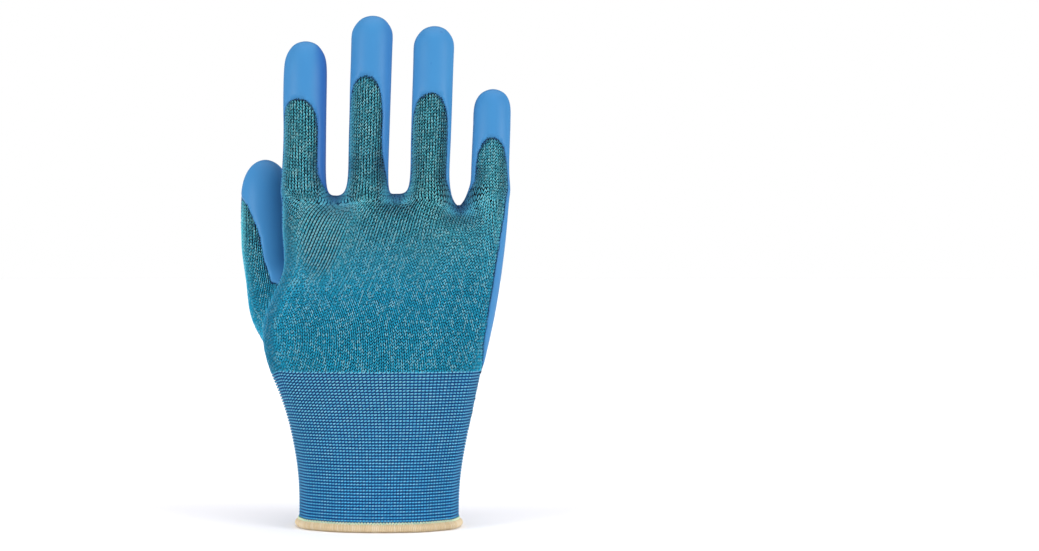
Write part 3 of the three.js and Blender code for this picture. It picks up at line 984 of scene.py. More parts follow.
def linear(red: int, green: int, blue: int, share: float = STRONG_LIGHT) -> Colour:
    """Turns a display colour of 0 to 255 into a linear one, dimmed by a share for the strong light."""
    parts = [c / 255.0 for c in (red, green, blue)]
    r, g, b = (share * (c / 12.92 if c <= 0.04045 else ((c + 0.055) / 1.055) ** 2.4) for c in parts)
    return r, g, b, 1.0


class NodeBench:
    """A node tree under construction."""

    def __init__(self, tree: bpy.types.NodeTree) -> None:
        """Empties the tree."""
        self.tree = tree
        self.tree.nodes.clear()

    def feed(self, socket: Socket, value: object) -> None:
        """Links an output to an input, or sets the input to a value."""
        if isinstance(value, bpy.types.NodeSocket):
            self.tree.links.new(value, socket)
        else:
            socket.default_value = value

    def add(self, kind: str, inputs: dict | None = None, **settings: object) -> bpy.types.Node:
        """Adds a node.

        Args:
            kind: The node's type.
            inputs: What is fed to its inputs, by their names or numbers.
            settings: Its properties.

        Returns:
            The node.
        """
        node = self.tree.nodes.new(kind)
        for key, value in settings.items():
            setattr(node, key, value)
        for key, value in (inputs or {}).items():
            self.feed(node.inputs[key], value)
        return node

    def math(self, operation: str, *values: object) -> Socket:
        """Returns the result of a sum on one or two numbers or outputs."""
        return self.add("ShaderNodeMath", dict(enumerate(values)), operation=operation).outputs[0]

    def vector(self, *values: object) -> Socket:
        """Returns a vector of three numbers or outputs."""
        return self.add("ShaderNodeCombineXYZ", dict(enumerate(values))).outputs[0]


@dataclass(frozen=True)
class Clouds:
    """A cloudy pattern: clouds to a metre, finer layers, the part of its range used, and its stretch."""

    scale: float
    detail: float
    span: Span | None = None
    stretch: Place = (1.0, 1.0, 1.0)


SHEEN_ROUGHNESS = 0.5


class ShaderBench(NodeBench):
    """A material under construction."""

    def __init__(self, name: str) -> None:
        """Starts a material with one surface."""
        self.material = bpy.data.materials.new(name)
        self.material.use_nodes = True
        super().__init__(self.material.node_tree)
        self.principled = self.add("ShaderNodeBsdfPrincipled")
        self.add("ShaderNodeOutputMaterial", {"Surface": self.principled.outputs["BSDF"]})

    def place(self) -> Socket:
        """Returns the surface's own place in the object, in metres."""
        return self.add("ShaderNodeTexCoord").outputs["Object"]

    def height(self) -> Socket:
        """Returns the surface's height above the floor, in metres."""
        return self.add("ShaderNodeSeparateXYZ", {0: self.place()}).outputs["Z"]

    def attribute(self, name: str) -> Socket:
        """Returns a number that the mesh carries."""
        return self.add("ShaderNodeAttribute", attribute_name=name).outputs["Fac"]

    def clouds(self, pattern: Clouds) -> Socket:
        """Returns a cloudy pattern from 0 to 1."""
        mapping = self.add("ShaderNodeMapping", {"Vector": self.place(), "Scale": pattern.stretch})
        inputs = {"Vector": mapping.outputs["Vector"], "Scale": pattern.scale, "Detail": pattern.detail}
        value = self.add("ShaderNodeTexNoise", inputs).outputs["Fac"]
        return self.between(value, pattern.span) if pattern.span else value

    def between(self, value: Socket, span: Span, result: Span = (0.0, 1.0)) -> Socket:
        """Maps a value from one range to another, and keeps it inside."""
        names = ("From Min", "From Max", "To Min", "To Max")
        inputs = {"Value": value, **dict(zip(names, (*span, *result)))}
        return self.add("ShaderNodeMapRange", inputs, clamp=True).outputs["Result"]

    def mixed(self, factor: Socket, first: Colour | Socket, second: Colour | Socket) -> Socket:
        """Mixes two colours: all of the first at a factor of 0, all of the second at 1."""
        return self.add("ShaderNodeMix", {0: factor, 6: first, 7: second}, data_type="RGBA").outputs[2]

    def finish(
        self,
        colour: Colour | Socket,
        roughness: float,
        specular: float,
        sheen: float = 0.0,
        height: Socket | None = None,
        bump: Span = (0.0, 0.0),
    ) -> Material:
        """Sets the surface's colour, relief and constant values.

        Args:
            colour: Its colour.
            roughness: Its roughness.
            specular: The strength of its shine.
            sheen: The strength of its fuzz.
            height: The pattern that it is roughened with.
            bump: The strength and the depth of that, in metres.

        Returns:
            The material.
        """
        surface = self.principled
        self.feed(surface.inputs["Base Color"], colour)
        surface.inputs["Roughness"].default_value = roughness
        surface.inputs["Specular IOR Level"].default_value = specular
        surface.inputs["Sheen Weight"].default_value = sheen
        surface.inputs["Sheen Roughness"].default_value = SHEEN_ROUGHNESS
        if height is not None:
            inputs = {"Strength": bump[0], "Distance": bump[1], "Height": height}
            self.feed(surface.inputs["Normal"], self.add("ShaderNodeBump", inputs).outputs["Normal"])
        return self.material


@dataclass(frozen=True)
class YarnFinish:
    """Matt yarn, whose tone varies from stitch to stitch between pale and dark.

    Over the cloth it drifts to its cool colour, and towards its foot, between two heights in
    millimetres, it takes the foot's colour. Where the film has wetted it, and as painted shade on the
    knit's and the cuff's sides, the hand's edge and round the webs, it takes one colour for both.
    Its flanks are darker than its top, a painted shade that is deepest where the knit is spread. Any
    of these may be left out.
    """

    name: str
    base: Colour
    pale: Colour
    dark: Colour
    cool: Colour | None = None
    flank: Colour | None = None
    soaked: Colour | None = None
    foot: Colour | None = None
    foot_span: Span = (0.0, 60.0)
    drift: Clouds = Clouds(28.0, 3.0, (0.35, 0.65))
    pale_shades: Span = (0.55, 1.0)
    dark_shades: Span = (0.45, 0.0)
    contrast: float = 0.7
    flank_span: Span = (0.85, 0.2)
    fuzz: Clouds = Clouds(2600.0, 1.0)
    bump: Span = (0.5, 0.00012)
    roughness: float = 0.78
    specular: float = 0.25
    sheen: float = 0.1

    def material(self) -> Material:
        """Returns the yarn's material."""
        bench = ShaderBench(self.name)
        tone: Colour | Socket = self.base
        if self.cool:
            tone = bench.mixed(bench.clouds(self.drift), tone, self.cool)
        if self.foot:
            low, high = self.foot_span
            tone = bench.mixed(bench.between(bench.height(), (low * MM, high * MM)), self.foot, tone)
        spread = bench.between(bench.attribute("spread"), (-1.0, 1.0))
        for shades, colour in ((self.pale_shades, self.pale), (self.dark_shades, self.dark)):
            share = bench.between(bench.attribute("shade"), shades, (0.0, self.contrast))
            tone = bench.mixed(bench.math("MULTIPLY", share, spread), tone, colour)
        # Wetting by the film's edge, and painted shade on the sides, the hand's edge and round the webs.
        if self.soaked:
            tone = bench.mixed(bench.attribute("soak"), tone, self.soaked)
        # Painted shade on the flanks of each lobe, deepest where the knit is spread.
        if self.flank:
            flank = bench.between(bench.attribute("height"), self.flank_span)
            tone = bench.mixed(bench.math("MULTIPLY", flank, spread), tone, self.flank)
        fuzz = bench.clouds(self.fuzz)
        return bench.finish(tone, self.roughness, self.specular, self.sheen, fuzz, self.bump)


@dataclass(frozen=True)
class GroundFinish:
    """The yarn below the stitches or threads, painted dark as shade, which may take a painted web shade."""

    name: str
    base: Colour
    dark: Colour
    soaked: Colour | None = None
    mottle: Clouds = Clouds(900.0, 2.0, (0.35, 0.65))
    fuzz: Clouds = Clouds(1500.0, 2.0)
    bump: Span = (0.6, 0.0002)
    roughness: float = 0.9
    specular: float = 0.15
    sheen: float = 0.1

    def material(self) -> Material:
        """Returns the ground's material."""
        bench = ShaderBench(self.name)
        tone = bench.mixed(bench.clouds(self.mottle), self.base, self.dark)
        # Painted shade near the webs, which only the hand's ground carries.
        if self.soaked:
            tone = bench.mixed(bench.attribute("soak"), tone, self.soaked)
        fuzz = bench.clouds(self.fuzz)
        return bench.finish(tone, self.roughness, self.specular, self.sheen, fuzz, self.bump)


@dataclass(frozen=True)
class FilmFinish:
    """The satin film, through which the cuff's rows and the knit show faintly.

    The rows' height fades out over row_fade, in millimetres from the top of the cuff.
    """

    name: str
    base: Colour
    deep: Colour
    speck: Colour
    # Painted shade on the fingers' inner sides.
    thick: Colour
    row_pitch: float
    rows_top: float
    row_fade: Span = (2.0, -3.0)
    row_share: float = 0.5
    depths: Clouds = Clouds(22.0, 3.0, (0.3, 0.7))
    specks: Clouds = Clouds(260.0, 1.0, (0.79, 0.83))
    grain: Clouds = Clouds(700.0, 2.0, stretch=(1.0, 1.0, 0.45))
    grain_share: float = 0.35
    polish: Clouds = Clouds(60.0, 2.0)
    polish_span: Span = (0.3, 0.7)
    roughness: Span = (0.42, 0.52)
    specular: float = 0.12
    bump: Span = (0.35, 0.00022)

    def material(self) -> Material:
        """Returns the film's material."""
        bench = ShaderBench(self.name)
        tone = bench.mixed(bench.clouds(self.depths), self.base, self.deep)
        tone = bench.mixed(bench.clouds(self.specks), tone, self.speck)
        # Painted shade: the film darkens on the fingers' inner sides.
        tone = bench.mixed(bench.attribute("thick"), tone, self.thick)
        grain = bench.math("MULTIPLY", bench.clouds(self.grain), self.grain_share)
        height = bench.math("ADD", self._rows(bench), grain)
        rough = bench.between(bench.clouds(self.polish), self.polish_span, self.roughness)
        bench.feed(bench.principled.inputs["Roughness"], rough)
        middle = sum(self.roughness) / 2.0
        return bench.finish(tone, middle, self.specular, height=height, bump=self.bump)

    def _rows(self, bench: ShaderBench) -> Socket:
        """Returns the faint ridges of the cuff below the film."""
        z = bench.height()
        wave = bench.math("SINE", bench.math("MULTIPLY", z, math.tau / (self.row_pitch * MM)))
        low, high = ((self.rows_top + reach) * MM for reach in self.row_fade)
        return bench.math("MULTIPLY", wave, bench.between(z, (low, high), (0.0, self.row_share)))


@dataclass(frozen=True)
class FloorFinish:
    """The pale matt studio floor."""

    name: str
    base: Colour
    roughness: float = 0.95
    specular: float = 0.05

    def material(self) -> Material:
        """Returns the floor's material."""
        return ShaderBench(self.name).finish(self.base, self.roughness, self.specular)


class RepeatShape(Enum):
    """The shapes that are set on places by the thousand."""

    LEG = "one leg of a knit stitch"
    LOOP = "one level loop of a rib row"
    DROP = "one drop of film at its edge"
    WRAP = "one turn of thread round the rim"
    CHAIN = "two thin threads of the overlock's upper edge"


@dataclass(frozen=True)
class RepeatSizes:
    """The sizes of a repeated shape, as shares of its place's width and rise.

    depth is in metres. lean is in degrees. part is how far its two halves stand to either side.
    jitter is the most that a piece is turned at random, in degrees. Each is an input of the tree.
    """

    width: float
    length: float
    depth: float
    lean: float
    part: float
    jitter: float
    seed: int


# The height that a lobe has at its two ends, and how near to them it takes it.
POLE_HEIGHT = 0.1
POLE_REACH = 0.05

# How finely the shapes are made.
LOBE_SIDES = 5
LEG_SIDES = 6
LOBE_RINGS = 3
TURN_POINTS = 16
THREAD_SIDES = 6


class RepeatTree(NodeBench):
    """A tree of geometry nodes that sets one shape on every place of a mesh."""

    def __init__(self, shape: RepeatShape) -> None:
        """Builds the tree.

        Args:
            shape: The shape that it repeats.
        """
        super().__init__(bpy.data.node_groups.new(f"repeat_{shape.name.lower()}", "GeometryNodeTree"))
        self.shape = shape
        face = self.tree.interface
        face.new_socket("Geometry", in_out="OUTPUT", socket_type="NodeSocketGeometry")
        face.new_socket("Geometry", in_out="INPUT", socket_type="NodeSocketGeometry")
        for name in ("Width", "Length", "Depth", "Lean", "Part", "Jitter"):
            face.new_socket(name, in_out="INPUT", socket_type="NodeSocketFloat")
        face.new_socket("Seed", in_out="INPUT", socket_type="NodeSocketInt")
        face.new_socket("Material", in_out="INPUT", socket_type="NodeSocketMaterial")
        self.inputs = self.add("NodeGroupInput").outputs
        self._build()

    def _named(self, name: str, kind: str) -> Socket:
        """Returns an attribute of the places."""
        node = self.add("GeometryNodeInputNamedAttribute", {"Name": name}, data_type=kind)
        return node.outputs["Attribute"]

    def _after(self, step: str, shape: Socket, **inputs: object) -> Socket:
        """Returns a shape after one more step."""
        return self.add(f"GeometryNode{step}", {"Geometry": shape, **inputs}).outputs["Geometry"]

    def _leaning(self, side: float) -> Socket:
        """Returns the turn of a shape that leans to one side."""
        lean = self.math("RADIANS", self.inputs["Lean"])
        return self.vector(0.0, 0.0, self.math("MULTIPLY", lean, side))

    def _lobe(self, side: float, sides: int = LOBE_SIDES) -> Socket:
        """Makes one long lobe, leaning to one side.

        Args:
            side: -1 or 1 for a half that stands aside and leans, 0 for a lone upright one.
            sides: Faces round the lobe.

        Returns:
            The lobe's mesh.
        """
        ball = self.add("GeometryNodeMeshUVSphere", {"Segments": sides, "Rings": LOBE_RINGS, "Radius": 0.5})
        quarter = sides / 4.0
        to_top = abs(round(quarter) - quarter) * math.tau / sides
        laid = self._after("Transform", ball.outputs["Mesh"], Rotation=(math.pi / 2, to_top, 0.0))
        noted = self._after("StoreNamedAttribute", laid, Name="height", Value=self._height())
        size = self.vector(self.inputs["Width"], self.inputs["Length"], self.inputs["Depth"])
        aside = self.vector(self.math("MULTIPLY", self.inputs["Part"], side), 0.0, 0.0)
        turn = self._leaning(side)
        return self._after("Transform", noted, Scale=size, Rotation=turn, Translation=aside)

    def _height(self) -> Socket:
        """Measures how far a lobe's points are turned to its top, for the painted shade on its flanks.

        Returns:
            1 at the top, 0 at the flanks.
        """
        place = self.add("GeometryNodeInputPosition").outputs["Position"]
        split = self.add("ShaderNodeSeparateXYZ", {0: place}).outputs
        x, z = split["X"], split["Z"]
        squares = self.math("ADD", self.math("MULTIPLY", x, x), self.math("MULTIPLY", z, z))
        reach = self.math("ADD", self.math("SQRT", squares), POLE_REACH)
        return self.math("DIVIDE", self.math("ADD", z, POLE_HEIGHT * POLE_REACH), reach)

    def _turn(self) -> Socket:
        """Makes one closed turn of thread in the plane of the rim's section.

        Returns:
            The turn's mesh.
        """
        ring = self.add("GeometryNodeCurvePrimitiveCircle", {"Resolution": TURN_POINTS, "Radius": 1.0})
        laid = self._after("Transform", ring.outputs["Curve"], Rotation=(0.0, math.pi / 2, 0.0))
        size = self.vector(1.0, self.inputs["Length"], self.inputs["Depth"])
        inputs = {"Resolution": THREAD_SIDES, "Radius": self.inputs["Width"]}
        thread = self.add("GeometryNodeCurvePrimitiveCircle", inputs).outputs["Curve"]
        path = self._after("Transform", laid, Scale=size, Rotation=self._leaning(1.0))
        inputs = {"Curve": path, "Profile Curve": thread}
        return self.add("GeometryNodeCurveToMesh", inputs).outputs["Mesh"]

    def _shape(self) -> Socket:
        """Makes the shape that is repeated.

        Returns:
            The shape's mesh.
        """
        if self.shape is RepeatShape.WRAP:
            return self._turn()
        if self.shape is not RepeatShape.CHAIN:
            return self._lobe(0.0, LEG_SIDES if self.shape is RepeatShape.LEG else LOBE_SIDES)
        join = self.add("GeometryNodeJoinGeometry")
        for side in (-1.0, 1.0):
            self.feed(join.inputs["Geometry"], self._lobe(side))
        return join.outputs["Geometry"]

    def _build(self) -> None:
        """Sets the shape on each place, turned and sized by the place's own attributes."""
        align = "FunctionNodeAlignRotationToVector"
        out, up = self._named("out", "FLOAT_VECTOR"), self._named("up", "FLOAT_VECTOR")
        outward = self.add(align, {"Vector": out}, axis="Z").outputs["Rotation"]
        upward = self.add(align, {"Rotation": outward, "Vector": up}, axis="Y", pivot_axis="Z")
        most = self.math("RADIANS", self.inputs["Jitter"])
        inputs = {2: self.math("MULTIPLY", most, -1.0), 3: most, "Seed": self.inputs["Seed"]}
        jitter = self.add("FunctionNodeRandomValue", inputs, data_type="FLOAT").outputs[1]
        inputs = {"Rotation": upward.outputs["Rotation"], "Rotate By": self.vector(0.0, 0.0, jitter)}
        turned_by = self.add("FunctionNodeRotateRotation", inputs, rotation_space="LOCAL")
        inputs = {"Points": self.inputs["Geometry"], "Instance": self._shape()}
        inputs["Rotation"] = turned_by.outputs["Rotation"]
        if self.shape is not RepeatShape.WRAP:
            inputs["Scale"] = self.vector(self._named("across", "FLOAT"), self._named("rise", "FLOAT"), 1.0)
        on_places = self.add("GeometryNodeInstanceOnPoints", inputs).outputs["Instances"]
        smooth = self._after("SetShadeSmooth", self._after("RealizeInstances", on_places))
        dressed = self._after("SetMaterial", smooth, Material=self.inputs["Material"])
        self.add("NodeGroupOutput", {"Geometry": dressed})

    def grown(self, name: str, sites: Sites, sizes: RepeatSizes, material: Material) -> Piece:
        """Sets the shape on places and returns the result as one plain mesh.

        Args:
            name: The new object's name.
            sites: Where the shape is set.
            sizes: The shape's sizes.
            material: What it is made of.

        Returns:
            The object, with no modifier left.
        """
        mesh = bpy.data.meshes.new(f"{name}_places")
        mesh.from_pydata(sites.at.tolist(), [], [])
        for field in fields(sites)[1:]:
            values = getattr(sites, field.name)
            kind, part = ("FLOAT_VECTOR", "vector") if values.ndim == 2 else ("FLOAT", "value")
            mesh.attributes.new(field.name, kind, "POINT").data.foreach_set(part, values.ravel())
        base = placed(f"{name}_base", mesh)
        modifier = base.modifiers.new("repeat", "NODES")
        modifier.node_group = self.tree
        values = {field.name.capitalize(): getattr(sizes, field.name) for field in fields(sizes)}
        values["Material"] = material
        for item in self.tree.interface.items_tree:
            if item.item_type == "SOCKET" and item.in_out == "INPUT" and item.name in values:
                modifier[item.identifier] = values[item.name]
        graph = bpy.context.evaluated_depsgraph_get()
        plain = bpy.data.meshes.new_from_object(base.evaluated_get(graph), depsgraph=graph)
        base.modifiers.remove(modifier)
        bpy.data.objects.remove(base)
        plain.name = name
        return placed(name, plain)


def placed(name: str, data: bpy.types.ID) -> Piece:
    """Makes an object and puts it in the scene.

    Args:
        name: The object's name.
        data: Its mesh, light or camera.

    Returns:
        The object, at the origin.
    """
    made = bpy.data.objects.new(name, data)
    bpy.context.scene.collection.objects.link(made)
    return made


def solid_object(name: str, points: Array, faces: Sequence[Sequence[int]], material: Material) -> Piece:
    """Makes an object from points in millimetres.

    Args:
        name: The object's name.
        points: Its points, in millimetres.
        faces: Its faces, each as the numbers of its points.
        material: What it is made of.

    Returns:
        The object, at the origin and smoothly shaded.
    """
    mesh = bpy.data.meshes.new(name)
    mesh.from_pydata((points * MM).tolist(), [], faces)
    mesh.polygons.foreach_set("use_smooth", [True] * len(mesh.polygons))
    mesh.materials.append(material)
    mesh.update()
    return placed(name, mesh)


def shell(
    name: str,
    points: Array,
    normals: Array,
    faces: Array,
    inner: float,
    outer: float | Array,
    material: Material,
) -> Piece:
    """Gives part of the skin a thickness, with walls along its open edges.

    Args:
        name: The object's name.
        points: The skin's points, in millimetres.
        normals: The outward direction at each.
        faces: The faces that are kept, all with the same number of corners.
        inner: How far the inner face lies off the skin.
        outer: The same for the outer face, all alike or at each point.
        material: What it is made of.

    Returns:
        The closed shell.
    """
    used, index = np.unique(faces, return_inverse=True)
    number = {int(k): i for i, k in enumerate(used)}
    count = len(used)
    p, n = points[used], normals[used]
    rise = np.broadcast_to(outer, len(points))[used, None]
    both = np.concatenate([p + n * rise, p + n * inner])
    rows = [tuple(row) for row in index.reshape(faces.shape).tolist()]
    rows += [tuple(count + k for k in reversed(row)) for row in rows]
    for a, b in open_sides(faces):
        i, j = number[a], number[b]
        rows.append((j, i, count + i, count + j))
    return solid_object(name, both, rows, material)


def note(piece: Piece, name: str, values: Array) -> None:
    """Gives a shell a number at each point of the skin that it was made from."""
    layer = piece.data.attributes.new(name, "FLOAT", "POINT")
    layer.data.foreach_set("value", np.tile(values, 2))


def turned(way: Array, out: Array, angle: float | Array) -> Array:
    """Turns directions on the skin about its outward directions.

    Args:
        way: The directions.
        out: The outward direction at each.
        angle: How far they are turned to the right, in degrees, all alike or each its own.

    Returns:
        The turned directions, of length 1.
    """
    up = unit(way)
    right = np.cross(up, unit(out))
    turn = np.broadcast_to(np.radians(angle), len(way))[:, None]
    return up * np.cos(turn) + right * np.sin(turn)


@dataclass
class Workshop:
    """What every sub-assembly is built with: the skin at two finenesses and the repeat trees."""

    skin: Skin
    guide: Skin
    bare: BareKnit
    trees: dict[RepeatShape, RepeatTree]

    @classmethod
    def opened(cls) -> "Workshop":
        """Builds the skins and the trees."""
        cage = GloveCage()
        trees = {shape: RepeatTree(shape) for shape in RepeatShape}
        return cls(Skin(cage, SKIN_LEVELS), Skin(cage, GUIDE_LEVELS), BareKnit(), trees)

    def ground(
        self, name: str, regions: Sequence[Region], inner: float, outer: float, finish: GroundFinish
    ) -> Piece:
        """Makes the ground of some regions.

        Args:
            name: The object's name.
            regions: The regions.
            inner: How far its inner face lies off the skin.
            outer: The same for its outer face.
            finish: Its finish.

        Returns:
            The closed shell.
        """
        skin, faces = self.skin, self.skin.quads_of(regions)
        return shell(name, skin.points, skin.normals, faces, inner, outer, finish.material())


@dataclass
class SubAssembly:
    """A part of the glove, which is built in a workshop."""

    shop: Workshop

    def grown(
        self, shape: RepeatShape, name: str, sites: Sites, sizes: RepeatSizes, material: Material
    ) -> Piece:
        """Sets a repeated shape on places, as RepeatTree.grown does."""
        return self.shop.trees[shape].grown(name, sites, sizes, material)


def report(piece: Piece, slot: str, *nodes: str) -> None:
    """Fastens a finished piece to the glove and reports it.

    Args:
        piece: The finished piece.
        slot: Not used.
        nodes: The CAD nodes that it stands for.
    """
    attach(piece, "root")
    if nodes:
        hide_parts(*nodes)
    triangles = sum(len(face.vertices) - 2 for face in piece.data.polygons)
    log.info("%s: %d triangles", piece.name, triangles)


@dataclass
class KnittedHand(SubAssembly):
    """The knitted hand: its ground, and the stitches where no film covers it.

    Lengths and heights are in millimetres. A span is where something rises from none to all: spans
    that end in _top are heights above the knuckles, and those that end in _rise above a web.
    """

    yarn: YarnFinish
    ground: GroundFinish
    seed: int = 41

    # The ground, the rows and the columns.
    ground_inner: float = -1.2
    ground_outer: float = -0.35
    under_film: float = 0.7
    wale: float = 1.6
    course: float = 1.5
    column_wales: int = 5
    finger_columns: tuple[int, int] = (-2, 4)
    thumb_columns: tuple[int, int] = (-3, 5)
    fan_reach: float = 2.0
    fan_share: float = 0.5
    widest: float = 2.7
    lift: float = -0.02
    slip: float = 0.35
    row_overlap: float = 0.03
    wales_from: float = -4.0
    wales_to: float = 11.0
    lean_full: float = 13.0
    lean_none: float = 100.0

    # The wetted colour: by the film's edge, where the film has wetted the yarn, and painted shade
    # on the fingers' sides, by the thumb's side and round the webs.
    soak_edge: Span = (0.2, 1.1)
    edge_share: float = 0.7
    side_soak: Span = (0.3, 0.8)
    inner_soak: Span = (0.6, 0.95)
    side_heights: Span = (140.0, 156.0)
    side_share: float = 0.58
    rim_soak: Span = (0.45, 0.9)
    rim_share: float = 0.42
    web_soak: Span = (1.0, 11.0)
    web_height: float = 14.0
    web_flare: float = 0.25
    web_share: float = 0.95
    web_tint: Span = (4.0, 13.0)
    tint_rise: Span = (-14.0, -4.0)
    tint_share: float = 0.55
    web_smooth: Span = (3.2, 9.0)
    smooth_rise: Span = (-6.0, -2.0)
    smooth_share: float = 0.9

    # How far the stitches stand apart.
    spread_least: float = 0.3
    spread_heights: Span = (108.0, 150.0)
    spread_facing: Span = (0.2, 0.8)
    outer_sides: Span = (10.0, 50.0)
    outer_top: Span = (0.0, 5.0)
    outer_share: float = 0.5
    corner_sides: Span = (-50.0, -32.0)
    corner_depth: float = 4.0
    band_heights: Span = (106.0, 122.0)
    band_top: Span = (-1.0, 3.0)
    band_edge: Span = (0.35, 1.1)

    # The legs of a stitch: how far they stand to its sides, lean, vary and widen.
    leg: RepeatSizes = RepeatSizes(0.27, 1.3, 0.0007, 0.0, 0.0, 4.0, 11)
    leg_part: float = 0.25
    open_part: float = 0.07
    open_spread: Span = (0.5, 1.0)
    band_part: float = 0.15
    leg_lean: float = 13.0
    lean_drift: float = 8.0
    band_lean: float = 3.0
    band_calm: float = 0.5
    stagger: float = 0.06
    shift: float = 0.06
    closing: float = 0.45
    thinning: float = 0.2
    thin_shade: float = 0.7

    # The waves that the lean drifts in, in radians to a millimetre.
    wave_across: float = 0.9
    wave_bend: float = 2.0
    wave_bend_up: float = 0.21
    wave_up: float = 0.33
    wave_slant: float = 0.4

    def __post_init__(self) -> None:
        """Starts the random numbers, which every stitch draws on in turn."""
        self.rng = np.random.default_rng(self.seed)

    def build(self) -> None:
        """Builds and fastens the ground and the stitches."""
        regions = [region for region in Region if region is not Region.CUFF]
        skin = self.shop.skin
        depths = (self.ground_inner, self.ground_outer)
        ground = self.shop.ground("liner_ground", regions, *depths, self.ground)
        # Painted shade on the ground round the webs, where the knit is drawn smooth.
        _, smooth = self._by_webs(skin.points[np.unique(skin.quads_of(regions))])
        note(ground, "soak", smooth)
        report(ground, "knit_back", "knit_liner")
        yarn = self.yarn.material()
        pieces = {
            "back_stitches": self._back(),
            "finger_stitches": Sites.joined([self._finger(finger) for finger in FINGERS]),
            "thumb_stitches": self._thumb(),
        }
        for name, sites in pieces.items():
            stitches = self.grown(RepeatShape.LEG, name, self._legs(sites), self.leg, yarn)
            report(stitches, "knit_back", "knit_liner")

    def _legs(self, sites: Sites) -> Sites:
        """Splits each stitch into its two legs, which lean apart from its foot.

        Args:
            sites: The places of the stitches.

        Returns:
            The places of the legs.
        """
        right = turned(sites.up, sites.out, 90.0)
        x, _, z = (sites.at / MM).T
        band = self._band(sites.at / MM)
        waves = np.sin(x * self.wave_across + self.wave_bend * np.sin(z * self.wave_bend_up))
        waves *= np.sin(z * self.wave_up + x * self.wave_slant)
        part = self.leg_part + self.open_part * rising(sites.spread, *self.open_spread)
        part += (self.band_part - part) * band
        lean = self.leg_lean + self.lean_drift * waves
        lean += (self.band_lean - lean) * band
        legs = []
        for side in (-1.0, 1.0):
            at = sites.at + right * (side * part * sites.across)[:, None]
            way = turned(sites.up, sites.out, side * lean)
            shift = side * self.stagger + self.rng.uniform(-self.shift, self.shift, len(at))
            at += way * (shift * sites.rise)[:, None]
            shade = 1.0 - self.rng.random(len(at)) * (1.0 - self.band_calm * band)
            thinner = self.thinning * (shade - self.thin_shade) * sites.spread
            wide = 1.0 + self.closing * (1.0 - sites.spread) + thinner
            legs.append(replace(sites, at=at, up=way, across=sites.across * wide, shade=shade))
        return Sites.joined(legs)

    def _band(self, p: Array) -> Array:
        """Finds how far points lie in the open band below the index finger.

        Args:
            p: The points, in millimetres.

        Returns:
            A share from 0 to 1.
        """
        x, y, z = p.T
        half = look_up(OPEN_BAND, "half", z)
        aside = np.abs(x - look_up(OPEN_BAND, "middle", z))
        low, high = self.band_top
        inside = falling(aside, self.band_edge[0] * half, self.band_edge[1] * half)
        upper = rising(z, *self.band_heights) * falling(z, KNUCKLES.z + low, KNUCKLES.z + high)
        return inside * upper * (y < 0.0)

    def _sway(self, us: Array, u: Array, v: Array) -> Array:
        """Leans the wales below the index finger towards the web beside it.

        Args:
            us: The columns of all the wales, evenly spaced over the cloth.
            u: The columns that are asked for.
            v: The row of each.

        Returns:
            Where the columns run at those rows.
        """
        number = np.arange(len(us), dtype=float)
        along = (np.interp(u, us, number) - np.interp(0.0, us, number)) * self.wale
        share = np.clip((self.lean_none - along) / (self.lean_none - self.lean_full), 0.0, 1.0)
        moved = share * read_marks(WALE_LEAN, v) / self.wale
        return np.interp(np.interp(u, us, number) + moved, number, us)

    def _wales(self, first: int, last: int) -> Array:
        """Returns the wales between two columns of the cage."""
        return (np.arange(first * self.column_wales, last * self.column_wales) + 0.5) / self.column_wales

    def _fanned(self, u: Array, v: Array) -> Array:
        """Fans the wales of the hand out from a finger's root, where its sides have no width yet.

        Args:
            u: The columns above the root.
            v: The row of each.

        Returns:
            Where the columns run at those rows.
        """
        inner = np.clip(u - FINGER_COLUMN, -self.fan_reach, self.fan_reach)
        return u - self.fan_share * inner * (1.0 - np.clip(v, 0.0, 1.0))

    def _split(self, sites: Sites) -> Sites:
        """Puts two narrow stitches in the place of each one that is too wide.

        Args:
            sites: The places of the stitches.

        Returns:
            The new places.
        """
        wide = sites.across > self.widest * MM
        broad = sites.kept(wide)
        right = turned(broad.up, broad.out, 90.0)
        parts = [sites.kept(~wide)]
        for side in (-1.0, 1.0):
            at = broad.at + right * (side * broad.across / 4.0)[:, None]
            parts.append(replace(broad, at=at, across=broad.across / 2.0))
        return Sites.joined(parts)

    def _spread(self, out: Array, p: Array) -> Array:
        """Finds how far the stitches stand apart: most on the fingers' backs and in the open band.

        Args:
            out: The outward direction of each, of length 1.
            p: The point of the skin below each.

        Returns:
            A share from 0 to 1.
        """
        x, y, z = p.T
        low, high = self.outer_top
        outer = rising(x, *self.outer_sides) * falling(z, KNUCKLES.z + low, KNUCKLES.z + high)
        upper = rising(z, *self.spread_heights) * (1.0 - self.outer_share * outer)
        corner = falling(x, *self.corner_sides) * (y < self.corner_depth)
        closed = 1.0 - corner * falling(z, *self.spread_heights)
        zone = (self.spread_least + (1.0 - self.spread_least) * upper) * closed
        return np.maximum(zone, self._band(p)) * rising(-out[:, 1], *self.spread_facing)

    def _by_webs(self, p: Array) -> tuple[Array, Array]:
        """Finds the painted shade on the knit near the webs, and where the knit is drawn smooth there.

        Args:
            p: The points, in millimetres.

        Returns:
            How much painted shade falls on them, and how smooth the knit is there.
        """
        web, near_shade, smooth = np.zeros((3, len(p)))
        # Painted shade round each web: close by it, and wider below it.
        for column, z in zip(WEB_COLUMNS, WEB_HEIGHTS):
            aside = p[:, 0] - KNUCKLES.middle_at(COLUMNS[column])[0]
            up = p[:, 2] - z
            above = np.clip(up, 0.0, self.web_height)
            away = np.hypot(aside, up - above) - above * self.web_flare
            web = np.maximum(web, falling(away, *self.web_soak))
            near = np.hypot(aside, np.maximum(up, 0.0))
            smooth = np.maximum(smooth, falling(near, *self.web_smooth) * rising(up, *self.smooth_rise))
            near_shade = np.maximum(near_shade, falling(near, *self.web_tint) * rising(up, *self.tint_rise))
        return np.maximum(web * self.web_share, near_shade * self.tint_share), smooth

